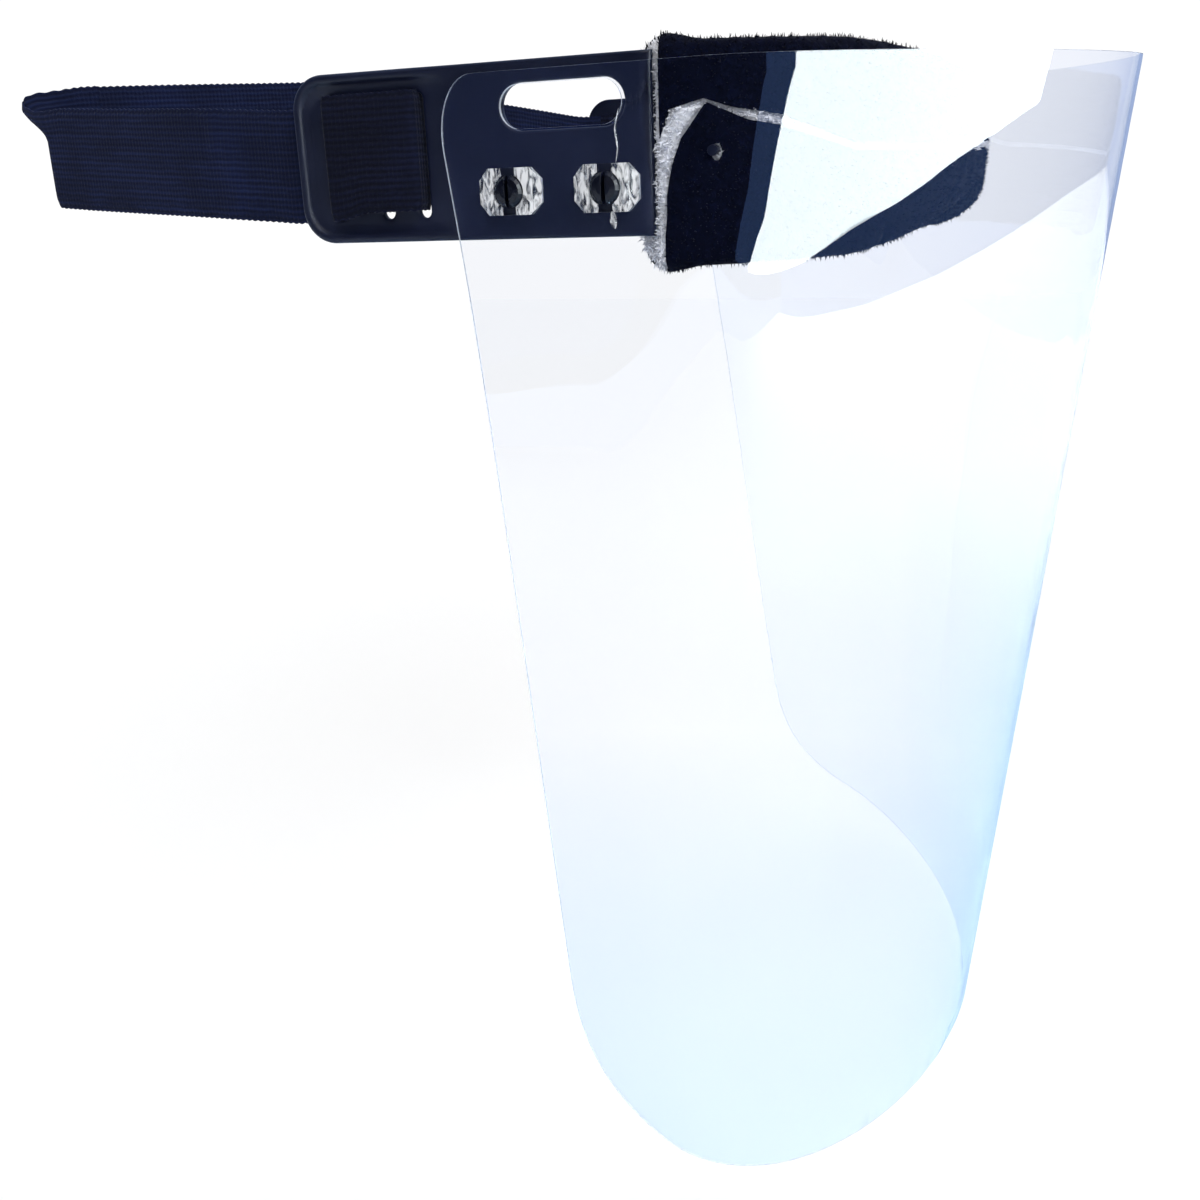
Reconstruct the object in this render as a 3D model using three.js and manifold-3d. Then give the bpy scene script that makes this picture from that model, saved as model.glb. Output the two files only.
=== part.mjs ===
// A face shield: a clear wrap-round visor snapped onto the two side plates of a brow band.
// The band carries a fleece-covered brow pad, and a ribbed elastic strap closes the loop behind the head.
// Millimetres. The wearer faces -Y, +Z is up and the wearer's right side is -X.
// The origin is where the middle of the forehead meets the brow pad.
import * as THREE from "three";
import { mergeVertices } from "three/addons/utils/BufferGeometryUtils.js";
import Module from "manifold-3d";

// Clearance between pieces that touch on the real shield.
const GAP = 0.3;

// Side plates: two flat plates parallel to the wearer's middle plane.
const PLATE_OUTER_X = 79.2;
const PLATE_THICKNESS = 2;
const PLATE_FRONT_Y = 39;
const PLATE_REAR_Y = 116;
const PLATE_MID_Z = 2.1;
const PLATE_HEIGHT = 32.5;
const PLATE_CORNER = 7;
const PLATE_INNER_X = PLATE_OUTER_X - PLATE_THICKNESS;

// Raised rim round the strap end of each plate.
const RIM_RISE = 0.8;
const RIM_WIDTH = 1.8;
const RIM_FRONT_Y = 89;

// Long vent slot with round ends, through plate and visor.
const VENT = { midY: 56.8, midZ: 10, length: 25.4, height: 8.6 };
const VISOR_VENT_SHRINK = 0.6;

// Three upright slots that the strap is threaded through, rear one first.
const STRAP_SLOT_YS = [107.7, 96, 87.7];
const STRAP_SLOT_WIDTH = 2.7;
const STRAP_SLOT_HEIGHT = 23.5;

// Split snap studs that hold the visor on the plates.
const STUD_YS = [67.8, 47.9];
const STUD_Z = -5.2;
const STUD_SHANK_R = 2;
const STUD_HEAD_R = 3;
const STUD_FLANGE_R = 3.8;
const STUD_FLANGE_THICKNESS = 1;
const STUD_HEAD_RISE = 1.8;
const STUD_SPLIT = 0.8;

// Front band: the strip inside the brow pad that joins the two plates.
const BAND_THICKNESS = 1.6;
const BAND_TOP = { temple: 13.6, middle: 10.5 };
const BAND_BOTTOM = { temple: -9.4, middle: -5.2 };
const BAND_PLAN = {
  halfWidth: PLATE_INNER_X - GAP - BAND_THICKNESS / 2,
  rearY: 43,
  straightY: 36,
  frontY: -6.8,
  roundness: { front: 0.5, side: 0.45 },
};
const NIB = { y: 28, z: 0.6, radius: 1 };

// Brow pad: a fleece cover wrapped round a pile lining, open along the front.
const PAD_REAR_Y = 38.5;
const PAD_TOP = { temple: 21, middle: 14.5 };
const PAD_BOTTOM = { temple: -21, middle: -9 };
const PAD_INNER_FRONT = 6.8;
const PAD_INNER_END = 5.2;
const PAD_OUTER_FRONT = 5.2;
const PAD_OUTER_END = 2.5;
const PAD_CORNER = 3.6;
const COVER_THICKNESS = 1.3;
const COVER_SEAM = { templeZ: 8.2, middleZ: -0.8, width: 1.6 };

// Band and pad keep their full height at the temples and narrow towards the middle of the forehead.
const NARROWING = { start: 58, power: 1.35 };

// Visor: one sheet cut flat and bent round the front, springing open a little towards its bottom.
const VISOR_THICKNESS = 0.8;
const VISOR_INNER_X = PLATE_OUTER_X + GAP;
const VISOR_TOP_PLAN = {
  halfWidth: VISOR_INNER_X + VISOR_THICKNESS / 2,
  rearY: 85.6,
  straightY: 28,
  frontY: -42.4,
  roundness: { front: 0.26, side: 0.3 },
};
const VISOR_BOTTOM_PLAN = {
  halfWidth: 95,
  rearY: 53,
  straightY: 35,
  frontY: -16.5,
  roundness: { front: 0.5, side: 0.4 },
};
const VISOR_TOP_Z = 16.5;
const VISOR_HEIGHT = 238.5;
const VISOR_SIDE_HEIGHT = 185;
const VISOR_BOTTOM_SWEEP = 4;
const VISOR_BOTTOM_CORNER = 2.8;
const VISOR_FLAT_DEPTH = 32;
const VISOR_FLARE_EASE = 40;
const VISOR_TOP_CORNER = 9;
const VISOR_HOLE_R = 2.5;

// Elastic strap.
const STRAP_WIDTH = 21;
const STRAP_THICKNESS = 1.2;
const STRAP_MID_Z = 2.5;
const STRAP_BEND = { x: -62, y: 194, radius: 2.2, lift: 3.4 };
const LEFT_RUN_LIFT = 8;
const RIGHT_RUN_SAG = 1.5;
const BEND_REACH = 9;

const wasm = await Module();
wasm.setup();

// three.js geometry to a manifold-3d solid.
function solid(geometry) {
  const bare = geometry.clone();
  bare.deleteAttribute("normal");
  bare.deleteAttribute("uv");
  const merged = mergeVertices(bare, 1e-4);
  return new wasm.Manifold(
    new wasm.Mesh({
      numProp: 3,
      vertProperties: new Float32Array(merged.attributes.position.array),
      triVerts: new Uint32Array(merged.index.array),
    }),
  );
}

// manifold-3d solid back to three.js geometry.
function geometryOf(body) {
  const mesh = body.getMesh();
  const geometry = new THREE.BufferGeometry();
  const points = new Float32Array(mesh.numVert * 3);
  for (let i = 0; i < mesh.numVert; i++) {
    const start = i * mesh.numProp;
    points.set(mesh.vertProperties.subarray(start, start + 3), i * 3);
  }
  geometry.setAttribute("position", new THREE.BufferAttribute(points, 3));
  geometry.setIndex(new THREE.BufferAttribute(new Uint32Array(mesh.triVerts), 1));
  return geometry;
}

// A flat shape drawn as (y, z), given thickness between two planes of constant x.
function plateSolid(shape, lowX, highX, curveSegments = 5) {
  const geometry = new THREE.ExtrudeGeometry(shape, {
    depth: highX - lowX,
    bevelEnabled: false,
    curveSegments,
  });
  const turn = new THREE.Matrix4().set(0, 0, 1, lowX, 1, 0, 0, 0, 0, 1, 0, 0, 0, 0, 0, 1);
  return solid(geometry.applyMatrix4(turn));
}

// A slot outline with half-round ends, drawn as (y, z).
function slotShape(midY, midZ, length, height) {
  const radius = Math.min(length, height) / 2;
  const halfLength = length / 2 - radius;
  const halfHeight = height / 2 - radius;
  const shape = new THREE.Shape();
  shape.absarc(midY + halfLength, midZ + halfHeight, radius, 0, Math.PI / 2);
  shape.absarc(midY - halfLength, midZ + halfHeight, radius, Math.PI / 2, Math.PI);
  shape.absarc(midY - halfLength, midZ - halfHeight, radius, Math.PI, 1.5 * Math.PI);
  shape.absarc(midY + halfLength, midZ - halfHeight, radius, 1.5 * Math.PI, 2 * Math.PI);
  shape.closePath();
  return shape;
}

// A cylinder along X.
function barAlongX(radius, lowX, highX, y, z, segments = 24) {
  const geometry = new THREE.CylinderGeometry(radius, radius, highX - lowX, segments);
  geometry.rotateZ(Math.PI / 2);
  geometry.translate((lowX + highX) / 2, y, z);
  return solid(geometry);
}

// The U-shaped plan of the band or the visor, as a function of the distance s along it.
// s is 0 at the middle of the front, negative on the wearer's right and positive on the left.
function planCurve({ halfWidth, rearY, straightY, frontY, roundness }) {
  const depth = straightY - frontY;
  const bend = new THREE.CubicBezierCurve(
    new THREE.Vector2(0, frontY),
    new THREE.Vector2(halfWidth * roundness.front, frontY),
    new THREE.Vector2(halfWidth, straightY - depth * roundness.side),
    new THREE.Vector2(halfWidth, straightY),
  );
  const bendLength = bend.getLength();
  const length = bendLength + rearY - straightY;
  function pointAt(s) {
    const t = Math.abs(s);
    const side = s < 0 ? -1 : 1;
    if (t >= bendLength) return new THREE.Vector2(side * halfWidth, straightY + t - bendLength);
    const p = bend.getPointAt(t / bendLength);
    return new THREE.Vector2(side * p.x, p.y);
  }
  // Unit vector pointing away from the head.
  function outwardAt(s) {
    const step = 0.05;
    const ahead = pointAt(s + step).sub(pointAt(s - step)).normalize();
    return new THREE.Vector2(ahead.y, -ahead.x);
  }
  return { length, pointAt, outwardAt };
}

// Closed solid through a row of equal loops of points, with a flat cap at each end.
function loft(loops, capTriangles) {
  const count = loops[0].length;
  const positions = loops.flat().flatMap((p) => [p.x, p.y, p.z]);
  const index = [];
  for (let row = 0; row + 1 < loops.length; row++) {
    for (let i = 0; i < count; i++) {
      const a = row * count + i;
      const b = row * count + ((i + 1) % count);
      index.push(a, b, b + count, a, b + count, a + count);
    }
  }
  const last = (loops.length - 1) * count;
  for (const [a, b, c] of capTriangles) {
    index.push(c, b, a, last + a, last + b, last + c);
  }
  const geometry = new THREE.BufferGeometry();
  geometry.setAttribute("position", new THREE.Float32BufferAttribute(positions, 3));
  geometry.setIndex(index);
  const body = solid(geometry);
  if (body.volume() > 0) return body;
  geometry.setIndex(index.reverse());
  return solid(geometry);
}

// Sweeps a section, drawn as (distance outward, height), along a plan curve.
function sweep(curve, lengthUsed, steps, sectionAt) {
  const loops = [];
  for (let i = 0; i <= steps; i++) {
    const s = lengthUsed * ((2 * i) / steps - 1);
    const middle = curve.pointAt(s);
    const outward = curve.outwardAt(s);
    loops.push(
      sectionAt(s).map(
        (q) => new THREE.Vector3(middle.x + outward.x * q.x, middle.y + outward.y * q.x, q.y),
      ),
    );
  }
  return loft(loops, THREE.ShapeUtils.triangulateShape(sectionAt(lengthUsed), []));
}

// A rectangle with rounded corners as a list of points, for sweep.
function roundedBox(low, high, bottom, top, radius, cornerSteps = 3) {
  const points = [];
  const corners = [
    [high - radius, top - radius, 0],
    [low + radius, top - radius, 1],
    [low + radius, bottom + radius, 2],
    [high - radius, bottom + radius, 3],
  ];
  for (const [x, y, quarter] of corners) {
    for (let i = 0; i <= cornerSteps; i++) {
      const angle = ((quarter + i / cornerSteps) * Math.PI) / 2;
      points.push(new THREE.Vector2(x + radius * Math.cos(angle), y + radius * Math.sin(angle)));
    }
  }
  return points;
}

// Height of an edge of the band or pad at s, between its values at the temples and in the middle.
function edgeAt({ temple, middle }, s) {
  const share = Math.max(1 - Math.abs(s) / NARROWING.start, 0);
  return THREE.MathUtils.lerp(temple, middle, Math.pow(share, NARROWING.power));
}

const bandCurve = planCurve(BAND_PLAN);
const visorTopCurve = planCurve(VISOR_TOP_PLAN);
const visorBottomCurve = planCurve(VISOR_BOTTOM_PLAN);

// Outline of a side plate as (y, z): square at the front, round corners at the strap end.
function plateOutline(inset) {
  const top = PLATE_MID_Z + PLATE_HEIGHT / 2 - inset;
  const bottom = PLATE_MID_Z - PLATE_HEIGHT / 2 + inset;
  const rear = PLATE_REAR_Y - inset;
  const radius = PLATE_CORNER - inset;
  const shape = new THREE.Shape();
  shape.moveTo(PLATE_FRONT_Y, bottom);
  shape.lineTo(rear - radius, bottom);
  shape.absarc(rear - radius, bottom + radius, radius, -Math.PI / 2, 0);
  shape.absarc(rear - radius, top - radius, radius, 0, Math.PI / 2);
  shape.lineTo(PLATE_FRONT_Y, top);
  shape.closePath();
  return shape;
}

// Right side plate with its vent slot, strap slots, stud holes and raised rim.
function sidePlate() {
  const shape = plateOutline(0);
  shape.holes.push(slotShape(VENT.midY, VENT.midZ, VENT.length, VENT.height));
  for (const y of STRAP_SLOT_YS) {
    shape.holes.push(slotShape(y, PLATE_MID_Z, STRAP_SLOT_WIDTH, STRAP_SLOT_HEIGHT));
  }
  for (const y of STUD_YS) {
    const hole = new THREE.Path();
    hole.absarc(y, STUD_Z, STUD_SHANK_R + GAP, 0, 2 * Math.PI, true);
    shape.holes.push(hole);
  }
  const plate = plateSolid(shape, -PLATE_OUTER_X, -PLATE_INNER_X);
  const sunk = PLATE_THICKNESS / 2;
  const rimBlank = plateSolid(plateOutline(0), -PLATE_OUTER_X - RIM_RISE, -PLATE_OUTER_X + sunk);
  const inside = plateSolid(plateOutline(RIM_WIDTH), -PLATE_OUTER_X - 2, -PLATE_OUTER_X + 2);
  const front = new THREE.BoxGeometry(10, 100, 100);
  front.translate(-PLATE_OUTER_X, RIM_FRONT_Y - 50, 0);
  return plate.add(rimBlank.subtract(inside).subtract(solid(front)));
}

// Right snap stud: a flange inside the plate, a shank and a domed head, split down the middle.
function snapStud(y) {
  const flangeX = PLATE_INNER_X - GAP;
  const headX = VISOR_INNER_X + VISOR_THICKNESS + GAP;
  const profile = [
    [0, flangeX - STUD_FLANGE_THICKNESS],
    [STUD_FLANGE_R, flangeX - STUD_FLANGE_THICKNESS],
    [STUD_FLANGE_R, flangeX],
    [STUD_SHANK_R, flangeX],
    [STUD_SHANK_R, headX],
    [STUD_HEAD_R, headX],
    [STUD_HEAD_R, headX + STUD_HEAD_RISE * 0.4],
    [STUD_HEAD_R * 0.8, headX + STUD_HEAD_RISE * 0.8],
    [STUD_HEAD_R * 0.45, headX + STUD_HEAD_RISE],
    [0, headX + STUD_HEAD_RISE],
  ];
  const turned = new THREE.LatheGeometry(
    profile.map(([radius, along]) => new THREE.Vector2(radius, along)),
    18,
  );
  turned.rotateZ(Math.PI / 2);
  turned.translate(0, y, STUD_Z);
  const splitLength = headX + 5 - PLATE_INNER_X;
  const split = new THREE.BoxGeometry(splitLength, STUD_SPLIT, 3 * STUD_HEAD_R);
  split.translate(-PLATE_INNER_X - splitLength / 2, y, STUD_Z);
  return solid(turned).subtract(solid(split));
}

// A bar that stands out sideways from the band through the pad, on one side.
function nibBar(side, radius, outwardBy) {
  const inner = BAND_PLAN.halfWidth - 6;
  const outer = BAND_PLAN.halfWidth + outwardBy;
  return barAlongX(
    radius,
    side < 0 ? -outer : inner,
    side < 0 ? -inner : outer,
    NIB.y,
    NIB.z,
    16,
  );
}

// Everything on the head's side of the band's middle.
function headSide(halfLength) {
  return sweep(bandCurve, halfLength, 36, () => roundedBox(-20, 0, -30, 30, 1, 1));
}

// Front band with the two nibs that hold the pad's lower flap.
function frontBand() {
  const half = BAND_THICKNESS / 2;
  const strip = (s) =>
    roundedBox(-half, half, edgeAt(BAND_BOTTOM, s), edgeAt(BAND_TOP, s), half * 0.9, 1);
  let band = sweep(bandCurve, bandCurve.length, 36, strip);
  const inside = headSide(bandCurve.length * 1.01);
  for (const side of [-1, 1]) {
    band = band.add(nibBar(side, NIB.radius, 1.4).subtract(inside));
  }
  return band;
}

const padHalfLength = bandCurve.length - (BAND_PLAN.rearY - PAD_REAR_Y);

// Holes through the pad's outer half for the two nibs.
function nibHoles() {
  const bars = nibBar(-1, NIB.radius + GAP, 12).add(nibBar(1, NIB.radius + GAP, 12));
  return bars.subtract(headSide(padHalfLength + 1));
}

// How far the pad reaches from the band's middle at s, as [towards the head, outward].
function padReach(s) {
  const towardsEnd = Math.min(Math.abs(s) / padHalfLength, 1);
  return [
    THREE.MathUtils.lerp(PAD_INNER_FRONT, PAD_INNER_END, towardsEnd),
    THREE.MathUtils.lerp(PAD_OUTER_FRONT, PAD_OUTER_END, towardsEnd),
  ];
}

// The pad's section, drawn in by the given amount all round.
function padSection(s, inset) {
  const [inner, outer] = padReach(s);
  const low = edgeAt(PAD_BOTTOM, s) + inset;
  const high = edgeAt(PAD_TOP, s) - inset;
  const radius = Math.min(PAD_CORNER, (inner + outer) / 2 - 0.1) - inset;
  return roundedBox(-inner + inset, outer - inset, low, high, Math.max(radius, 0.6), 3);
}

// Fleece cover: a sleeve that is open along the front between its two flaps.
function padCover() {
  const outside = sweep(bandCurve, padHalfLength, 36, (s) => padSection(s, 0));
  const hollow = sweep(bandCurve, padHalfLength + 1, 36, (s) => padSection(s, COVER_THICKNESS));
  const seam = sweep(bandCurve, padHalfLength + 1, 36, (s) => {
    const share = Math.min(Math.abs(s) / padHalfLength, 1);
    const low = THREE.MathUtils.lerp(COVER_SEAM.middleZ, COVER_SEAM.templeZ, Math.pow(share, 1.6));
    return roundedBox(1, 12, low, low + COVER_SEAM.width, 0.4, 1);
  });
  return outside.subtract(hollow).subtract(seam).subtract(nibHoles());
}

// Pile lining: fills the cover and leaves a flat tunnel for the band.
function padLining() {
  const inset = COVER_THICKNESS + GAP;
  const filling = sweep(bandCurve, padHalfLength - 0.4, 36, (s) => padSection(s, inset));
  const half = BAND_THICKNESS / 2 + GAP;
  const tunnel = sweep(bandCurve, padHalfLength + 1, 36, (s) =>
    roundedBox(-half, half, edgeAt(BAND_BOTTOM, s) - GAP, edgeAt(BAND_TOP, s) + GAP, 0.5, 1),
  );
  return filling.subtract(tunnel).subtract(nibHoles());
}

// How far the sheet has sprung open sideways at a depth, from 0 beside the plates to 1 at the bottom.
function visorOpening(depth) {
  const ease = (below) => (below * below) / (below + VISOR_FLARE_EASE);
  return ease(Math.max(depth - VISOR_FLAT_DEPTH, 0)) / ease(VISOR_HEIGHT - VISOR_FLAT_DEPTH);
}

// Point of the visor: u runs from -1 at the right rear edge to 1 at the left, depth is down from the top.
function visorPoint(u, depth, outward) {
  const top = visorTopCurve.pointAt(u * visorTopCurve.length);
  const bottom = visorBottomCurve.pointAt(u * visorBottomCurve.length);
  const down = depth / VISOR_HEIGHT;
  const normal = visorTopCurve
    .outwardAt(u * visorTopCurve.length)
    .lerp(visorBottomCurve.outwardAt(u * visorBottomCurve.length), down)
    .normalize();
  return new THREE.Vector3(
    THREE.MathUtils.lerp(top.x, bottom.x, visorOpening(depth)) + normal.x * outward,
    THREE.MathUtils.lerp(top.y, bottom.y, down) + normal.y * outward,
    VISOR_TOP_Z - depth,
  );
}

// Depth of the sheet's top edge at u: straight, with a rounded corner at each rear end.
function visorTop(u) {
  const fromEnd = (1 - Math.abs(u)) * visorTopCurve.length;
  if (fromEnd >= VISOR_TOP_CORNER) return 0;
  const x = 1 - fromEnd / VISOR_TOP_CORNER;
  return VISOR_TOP_CORNER * 1.6 * (1 - Math.sqrt(1 - x * x));
}

// Depth of the sheet's bottom edge at u: one broad U from side edge to side edge.
function visorBottom(u) {
  const fall = 1 - Math.pow(Math.abs(u), VISOR_BOTTOM_SWEEP);
  const rise = VISOR_HEIGHT - VISOR_SIDE_HEIGHT;
  return VISOR_SIDE_HEIGHT + rise * Math.pow(fall, 1 / VISOR_BOTTOM_CORNER);
}

// Visor sheet with its two vent slots and four stud holes. Its columns crowd towards the rounded ends.
function visor() {
  const columns = 54;
  const rows = 12;
  const half = VISOR_THICKNESS / 2;
  const loops = [];
  for (let i = 0; i <= columns; i++) {
    const even = (2 * i) / columns - 1;
    const u = 0.75 * Math.sin((Math.PI / 2) * even) + 0.25 * even;
    const top = visorTop(u);
    const bottom = visorBottom(u);
    const outer = [];
    const inner = [];
    for (let j = 0; j <= rows; j++) {
      const depth = THREE.MathUtils.lerp(top, bottom, j / rows);
      outer.push(visorPoint(u, depth, half));
      inner.push(visorPoint(u, depth, -half));
    }
    loops.push([...outer, ...inner.reverse()]);
  }
  const caps = [];
  for (let j = 0; j < rows; j++) {
    const back = 2 * rows + 1 - j;
    caps.push([j, j + 1, back - 1], [j, back - 1, back]);
  }
  let sheet = loft(loops, caps);
  const vent = slotShape(
    VENT.midY,
    VENT.midZ,
    VENT.length - VISOR_VENT_SHRINK,
    VENT.height - VISOR_VENT_SHRINK,
  );
  sheet = sheet.subtract(plateSolid(vent, -200, 200, 6));
  for (const y of STUD_YS) {
    sheet = sheet.subtract(barAlongX(VISOR_HOLE_R, -200, 200, y, STUD_Z, 20));
  }
  return sheet;
}

// A length of flat webbing: path points are (x, y, z of the webbing's middle).
function ribbon(path) {
  const half = STRAP_THICKNESS / 2;
  const tall = STRAP_WIDTH / 2;
  const loops = path.map((p, i) => {
    const before = path[Math.max(i - 1, 0)];
    const after = path[Math.min(i + 1, path.length - 1)];
    const along = new THREE.Vector2(after.x - before.x, after.y - before.y).normalize();
    const into = new THREE.Vector2(p.x - before.x, p.y - before.y).normalize();
    const stretch = i > 0 && i + 1 < path.length ? 1 / Math.max(along.dot(into), 0.7) : 1;
    const x = along.y * half * stretch;
    const y = -along.x * half * stretch;
    return [
      new THREE.Vector3(p.x + x, p.y + y, p.z - tall),
      new THREE.Vector3(p.x + x, p.y + y, p.z + tall),
      new THREE.Vector3(p.x - x, p.y - y, p.z + tall),
      new THREE.Vector3(p.x - x, p.y - y, p.z - tall),
    ];
  });
  return loft(loops, [
    [0, 1, 2],
    [0, 2, 3],
  ]);
}

// Path through given corners, each corner rounded to the given radius.
function roundedPath(corners, radius, cornerSteps = 5) {
  const points = [corners[0].clone()];
  for (let i = 1; i + 1 < corners.length; i++) {
    const here = corners[i];
    const back = corners[i - 1].clone().sub(here);
    const on = corners[i + 1].clone().sub(here);
    const turn = Math.PI - back.angleTo(on);
    const reach = Math.min(radius * Math.tan(turn / 2), 0.5 * back.length(), 0.5 * on.length());
    const start = here.clone().addScaledVector(back.normalize(), reach);
    const end = here.clone().addScaledVector(on.normalize(), reach);
    const curve = new THREE.QuadraticBezierCurve3(start, here, end);
    points.push(...curve.getPoints(cornerSteps));
  }
  points.push(corners[corners.length - 1].clone());
  return points;
}

const INSIDE_X = -(PLATE_INNER_X - GAP - STRAP_THICKNESS / 2);
const OUTSIDE_X = -(PLATE_OUTER_X + GAP + STRAP_THICKNESS / 2);
const UPPER_LAYER_X = OUTSIDE_X - GAP - STRAP_THICKNESS;

function strapPoint(x, y, z = STRAP_MID_Z) {
  return new THREE.Vector3(x, y, z);
}

// Right webbing through the rear slot, over the bars and back in through the front slot.
function strapOverBars() {
  const [rear, , front] = STRAP_SLOT_YS;
  return ribbon(
    roundedPath(
      [
        strapPoint(INSIDE_X, rear + 3.4),
        strapPoint(INSIDE_X, rear),
        strapPoint(UPPER_LAYER_X, rear),
        strapPoint(UPPER_LAYER_X, front),
        strapPoint(INSIDE_X, front),
        strapPoint(INSIDE_X, front + 2.2),
      ],
      1,
    ),
  );
}

// Right tail: behind the bar, out of the middle slot and under the upper layer.
function strapTail() {
  const [rear, middle, front] = STRAP_SLOT_YS;
  return ribbon(
    roundedPath(
      [
        strapPoint(INSIDE_X, front + 2.2 + GAP),
        strapPoint(INSIDE_X, middle),
        strapPoint(OUTSIDE_X, middle),
        strapPoint(OUTSIDE_X, rear - 2.6),
      ],
      1,
    ),
  );
}

// Corners of the strap run on one side (-1 right, 1 left): in the buckle, behind the plate, at the rear bend.
function runCorners(side) {
  const start = strapPoint(INSIDE_X * -side, STRAP_SLOT_YS[0] + 3.4 + GAP);
  const sag = side < 0 ? RIGHT_RUN_SAG : 0;
  const leave = strapPoint(start.x, PLATE_REAR_Y + 2, STRAP_MID_Z - sag);
  const lift = side < 0 ? STRAP_BEND.lift : LEFT_RUN_LIFT;
  const offset = side * STRAP_BEND.radius;
  const end = strapPoint(STRAP_BEND.x + offset, STRAP_BEND.y, STRAP_MID_Z + lift);
  return [start, leave, end];
}

// Point on a run at a distance short of the rear bend.
function beforeBend(side, distance) {
  const [, leave, end] = runCorners(side);
  return end.clone().addScaledVector(leave.sub(end).normalize(), distance);
}

// Strap run on one side, from the buckle to where the rear bend begins.
function strapRun(side) {
  const [start, leave] = runCorners(side);
  return ribbon(roundedPath([start, leave, beforeBend(side, BEND_REACH + GAP)], 14, 6));
}

// Folded piece at the back where the two runs meet.
function strapBend() {
  const [rightTurn, leftTurn] = [-1, 1].map((side) => beforeBend(side, -STRAP_BEND.radius));
  return ribbon(
    roundedPath(
      [beforeBend(-1, BEND_REACH), rightTurn, leftTurn, beforeBend(1, BEND_REACH)],
      STRAP_BEND.radius,
      6,
    ),
  );
}

const group = new THREE.Group();

// Adds a solid as a named mesh with its own material.
function add(name, body, color, roughness, extra = {}) {
  const material = new THREE.MeshStandardMaterial({ color, roughness, metalness: 0, ...extra });
  const mesh = new THREE.Mesh(geometryOf(body), material);
  mesh.name = name;
  group.add(mesh);
}

const MIRROR = [-1, 0, 0, 0, 0, 1, 0, 0, 0, 0, 1, 0, 0, 0, 0, 1];

// Adds the right-hand piece and its mirror image on the left.
function addPair(name, body, color, roughness) {
  add("right_" + name, body, color, roughness);
  add("left_" + name, body.transform(MIRROR), color, roughness);
}

const BLACK_PLASTIC = 0x14151a;
const STUD_BLACK = 0x0c0c0e;
const FLEECE_BLACK = 0x0b0b0c;
const PILE_WHITE = 0xdcdcd8;
const STRAP_BLACK = 0x1b1b1d;
const CLEAR = 0xe8f1fa;

addPair("side_plate", sidePlate(), BLACK_PLASTIC, 0.4);
addPair("rear_stud", snapStud(STUD_YS[0]), STUD_BLACK, 0.35);
addPair("front_stud", snapStud(STUD_YS[1]), STUD_BLACK, 0.35);
add("front_band", frontBand(), BLACK_PLASTIC, 0.45);
add("brow_pad_cover", padCover(), FLEECE_BLACK, 1);
add("brow_pad_lining", padLining(), PILE_WHITE, 1);
add("visor", visor(), CLEAR, 0.05, { transparent: true, opacity: 0.25 });
addPair("strap_over_bars", strapOverBars(), STRAP_BLACK, 0.9);
addPair("strap_tail", strapTail(), STRAP_BLACK, 0.9);
add("right_strap_run", strapRun(-1), STRAP_BLACK, 0.9);
add("left_strap_run", strapRun(1), STRAP_BLACK, 0.9);
add("strap_rear_bend", strapBend(), STRAP_BLACK, 0.9);

export default group;
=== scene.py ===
"""Looks of the face shield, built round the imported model.

Lengths in this file are millimetres until a mesh is made, and the frame is the model's:
the wearer faces -Y, +Z is up, the wearer's right side is -X, and the forehead rests on the origin.
"""

import math

import bmesh
import bpy
import numpy as np
from mathutils import Matrix, Vector
from mathutils.bvhtree import BVHTree
from mathutils.geometry import delaunay_2d_cdt


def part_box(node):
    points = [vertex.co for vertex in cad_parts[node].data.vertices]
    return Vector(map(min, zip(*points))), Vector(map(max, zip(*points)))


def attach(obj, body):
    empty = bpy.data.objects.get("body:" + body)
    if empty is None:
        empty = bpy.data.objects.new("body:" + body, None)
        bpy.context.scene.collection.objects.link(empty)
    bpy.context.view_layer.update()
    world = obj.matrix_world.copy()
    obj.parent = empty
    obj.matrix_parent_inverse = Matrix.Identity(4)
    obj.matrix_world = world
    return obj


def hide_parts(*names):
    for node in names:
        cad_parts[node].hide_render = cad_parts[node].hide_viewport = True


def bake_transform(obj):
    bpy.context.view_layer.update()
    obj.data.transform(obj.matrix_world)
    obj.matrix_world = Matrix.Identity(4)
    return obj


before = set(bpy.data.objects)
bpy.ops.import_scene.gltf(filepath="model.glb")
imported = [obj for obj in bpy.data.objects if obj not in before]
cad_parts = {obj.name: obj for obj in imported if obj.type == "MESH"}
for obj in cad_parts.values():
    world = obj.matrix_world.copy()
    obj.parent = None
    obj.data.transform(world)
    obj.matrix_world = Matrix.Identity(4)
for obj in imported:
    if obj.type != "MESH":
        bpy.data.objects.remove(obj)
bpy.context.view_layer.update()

MM = 0.001
RNG = np.random.default_rng(7)


def node_box(name):
    """Lowest and highest corner of a CAD node, in millimetres."""
    low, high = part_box(name)
    return np.array(low) / MM, np.array(high) / MM


PLATE_LOW, PLATE_HIGH = node_box("right_side_plate")
VISOR_LOW, VISOR_HIGH = node_box("visor")
BAND_LOW, BAND_HIGH = node_box("front_band")
PAD_LOW, PAD_HIGH = node_box("brow_pad_cover")

# Air between touching pieces.
GAP = 0.3

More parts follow.
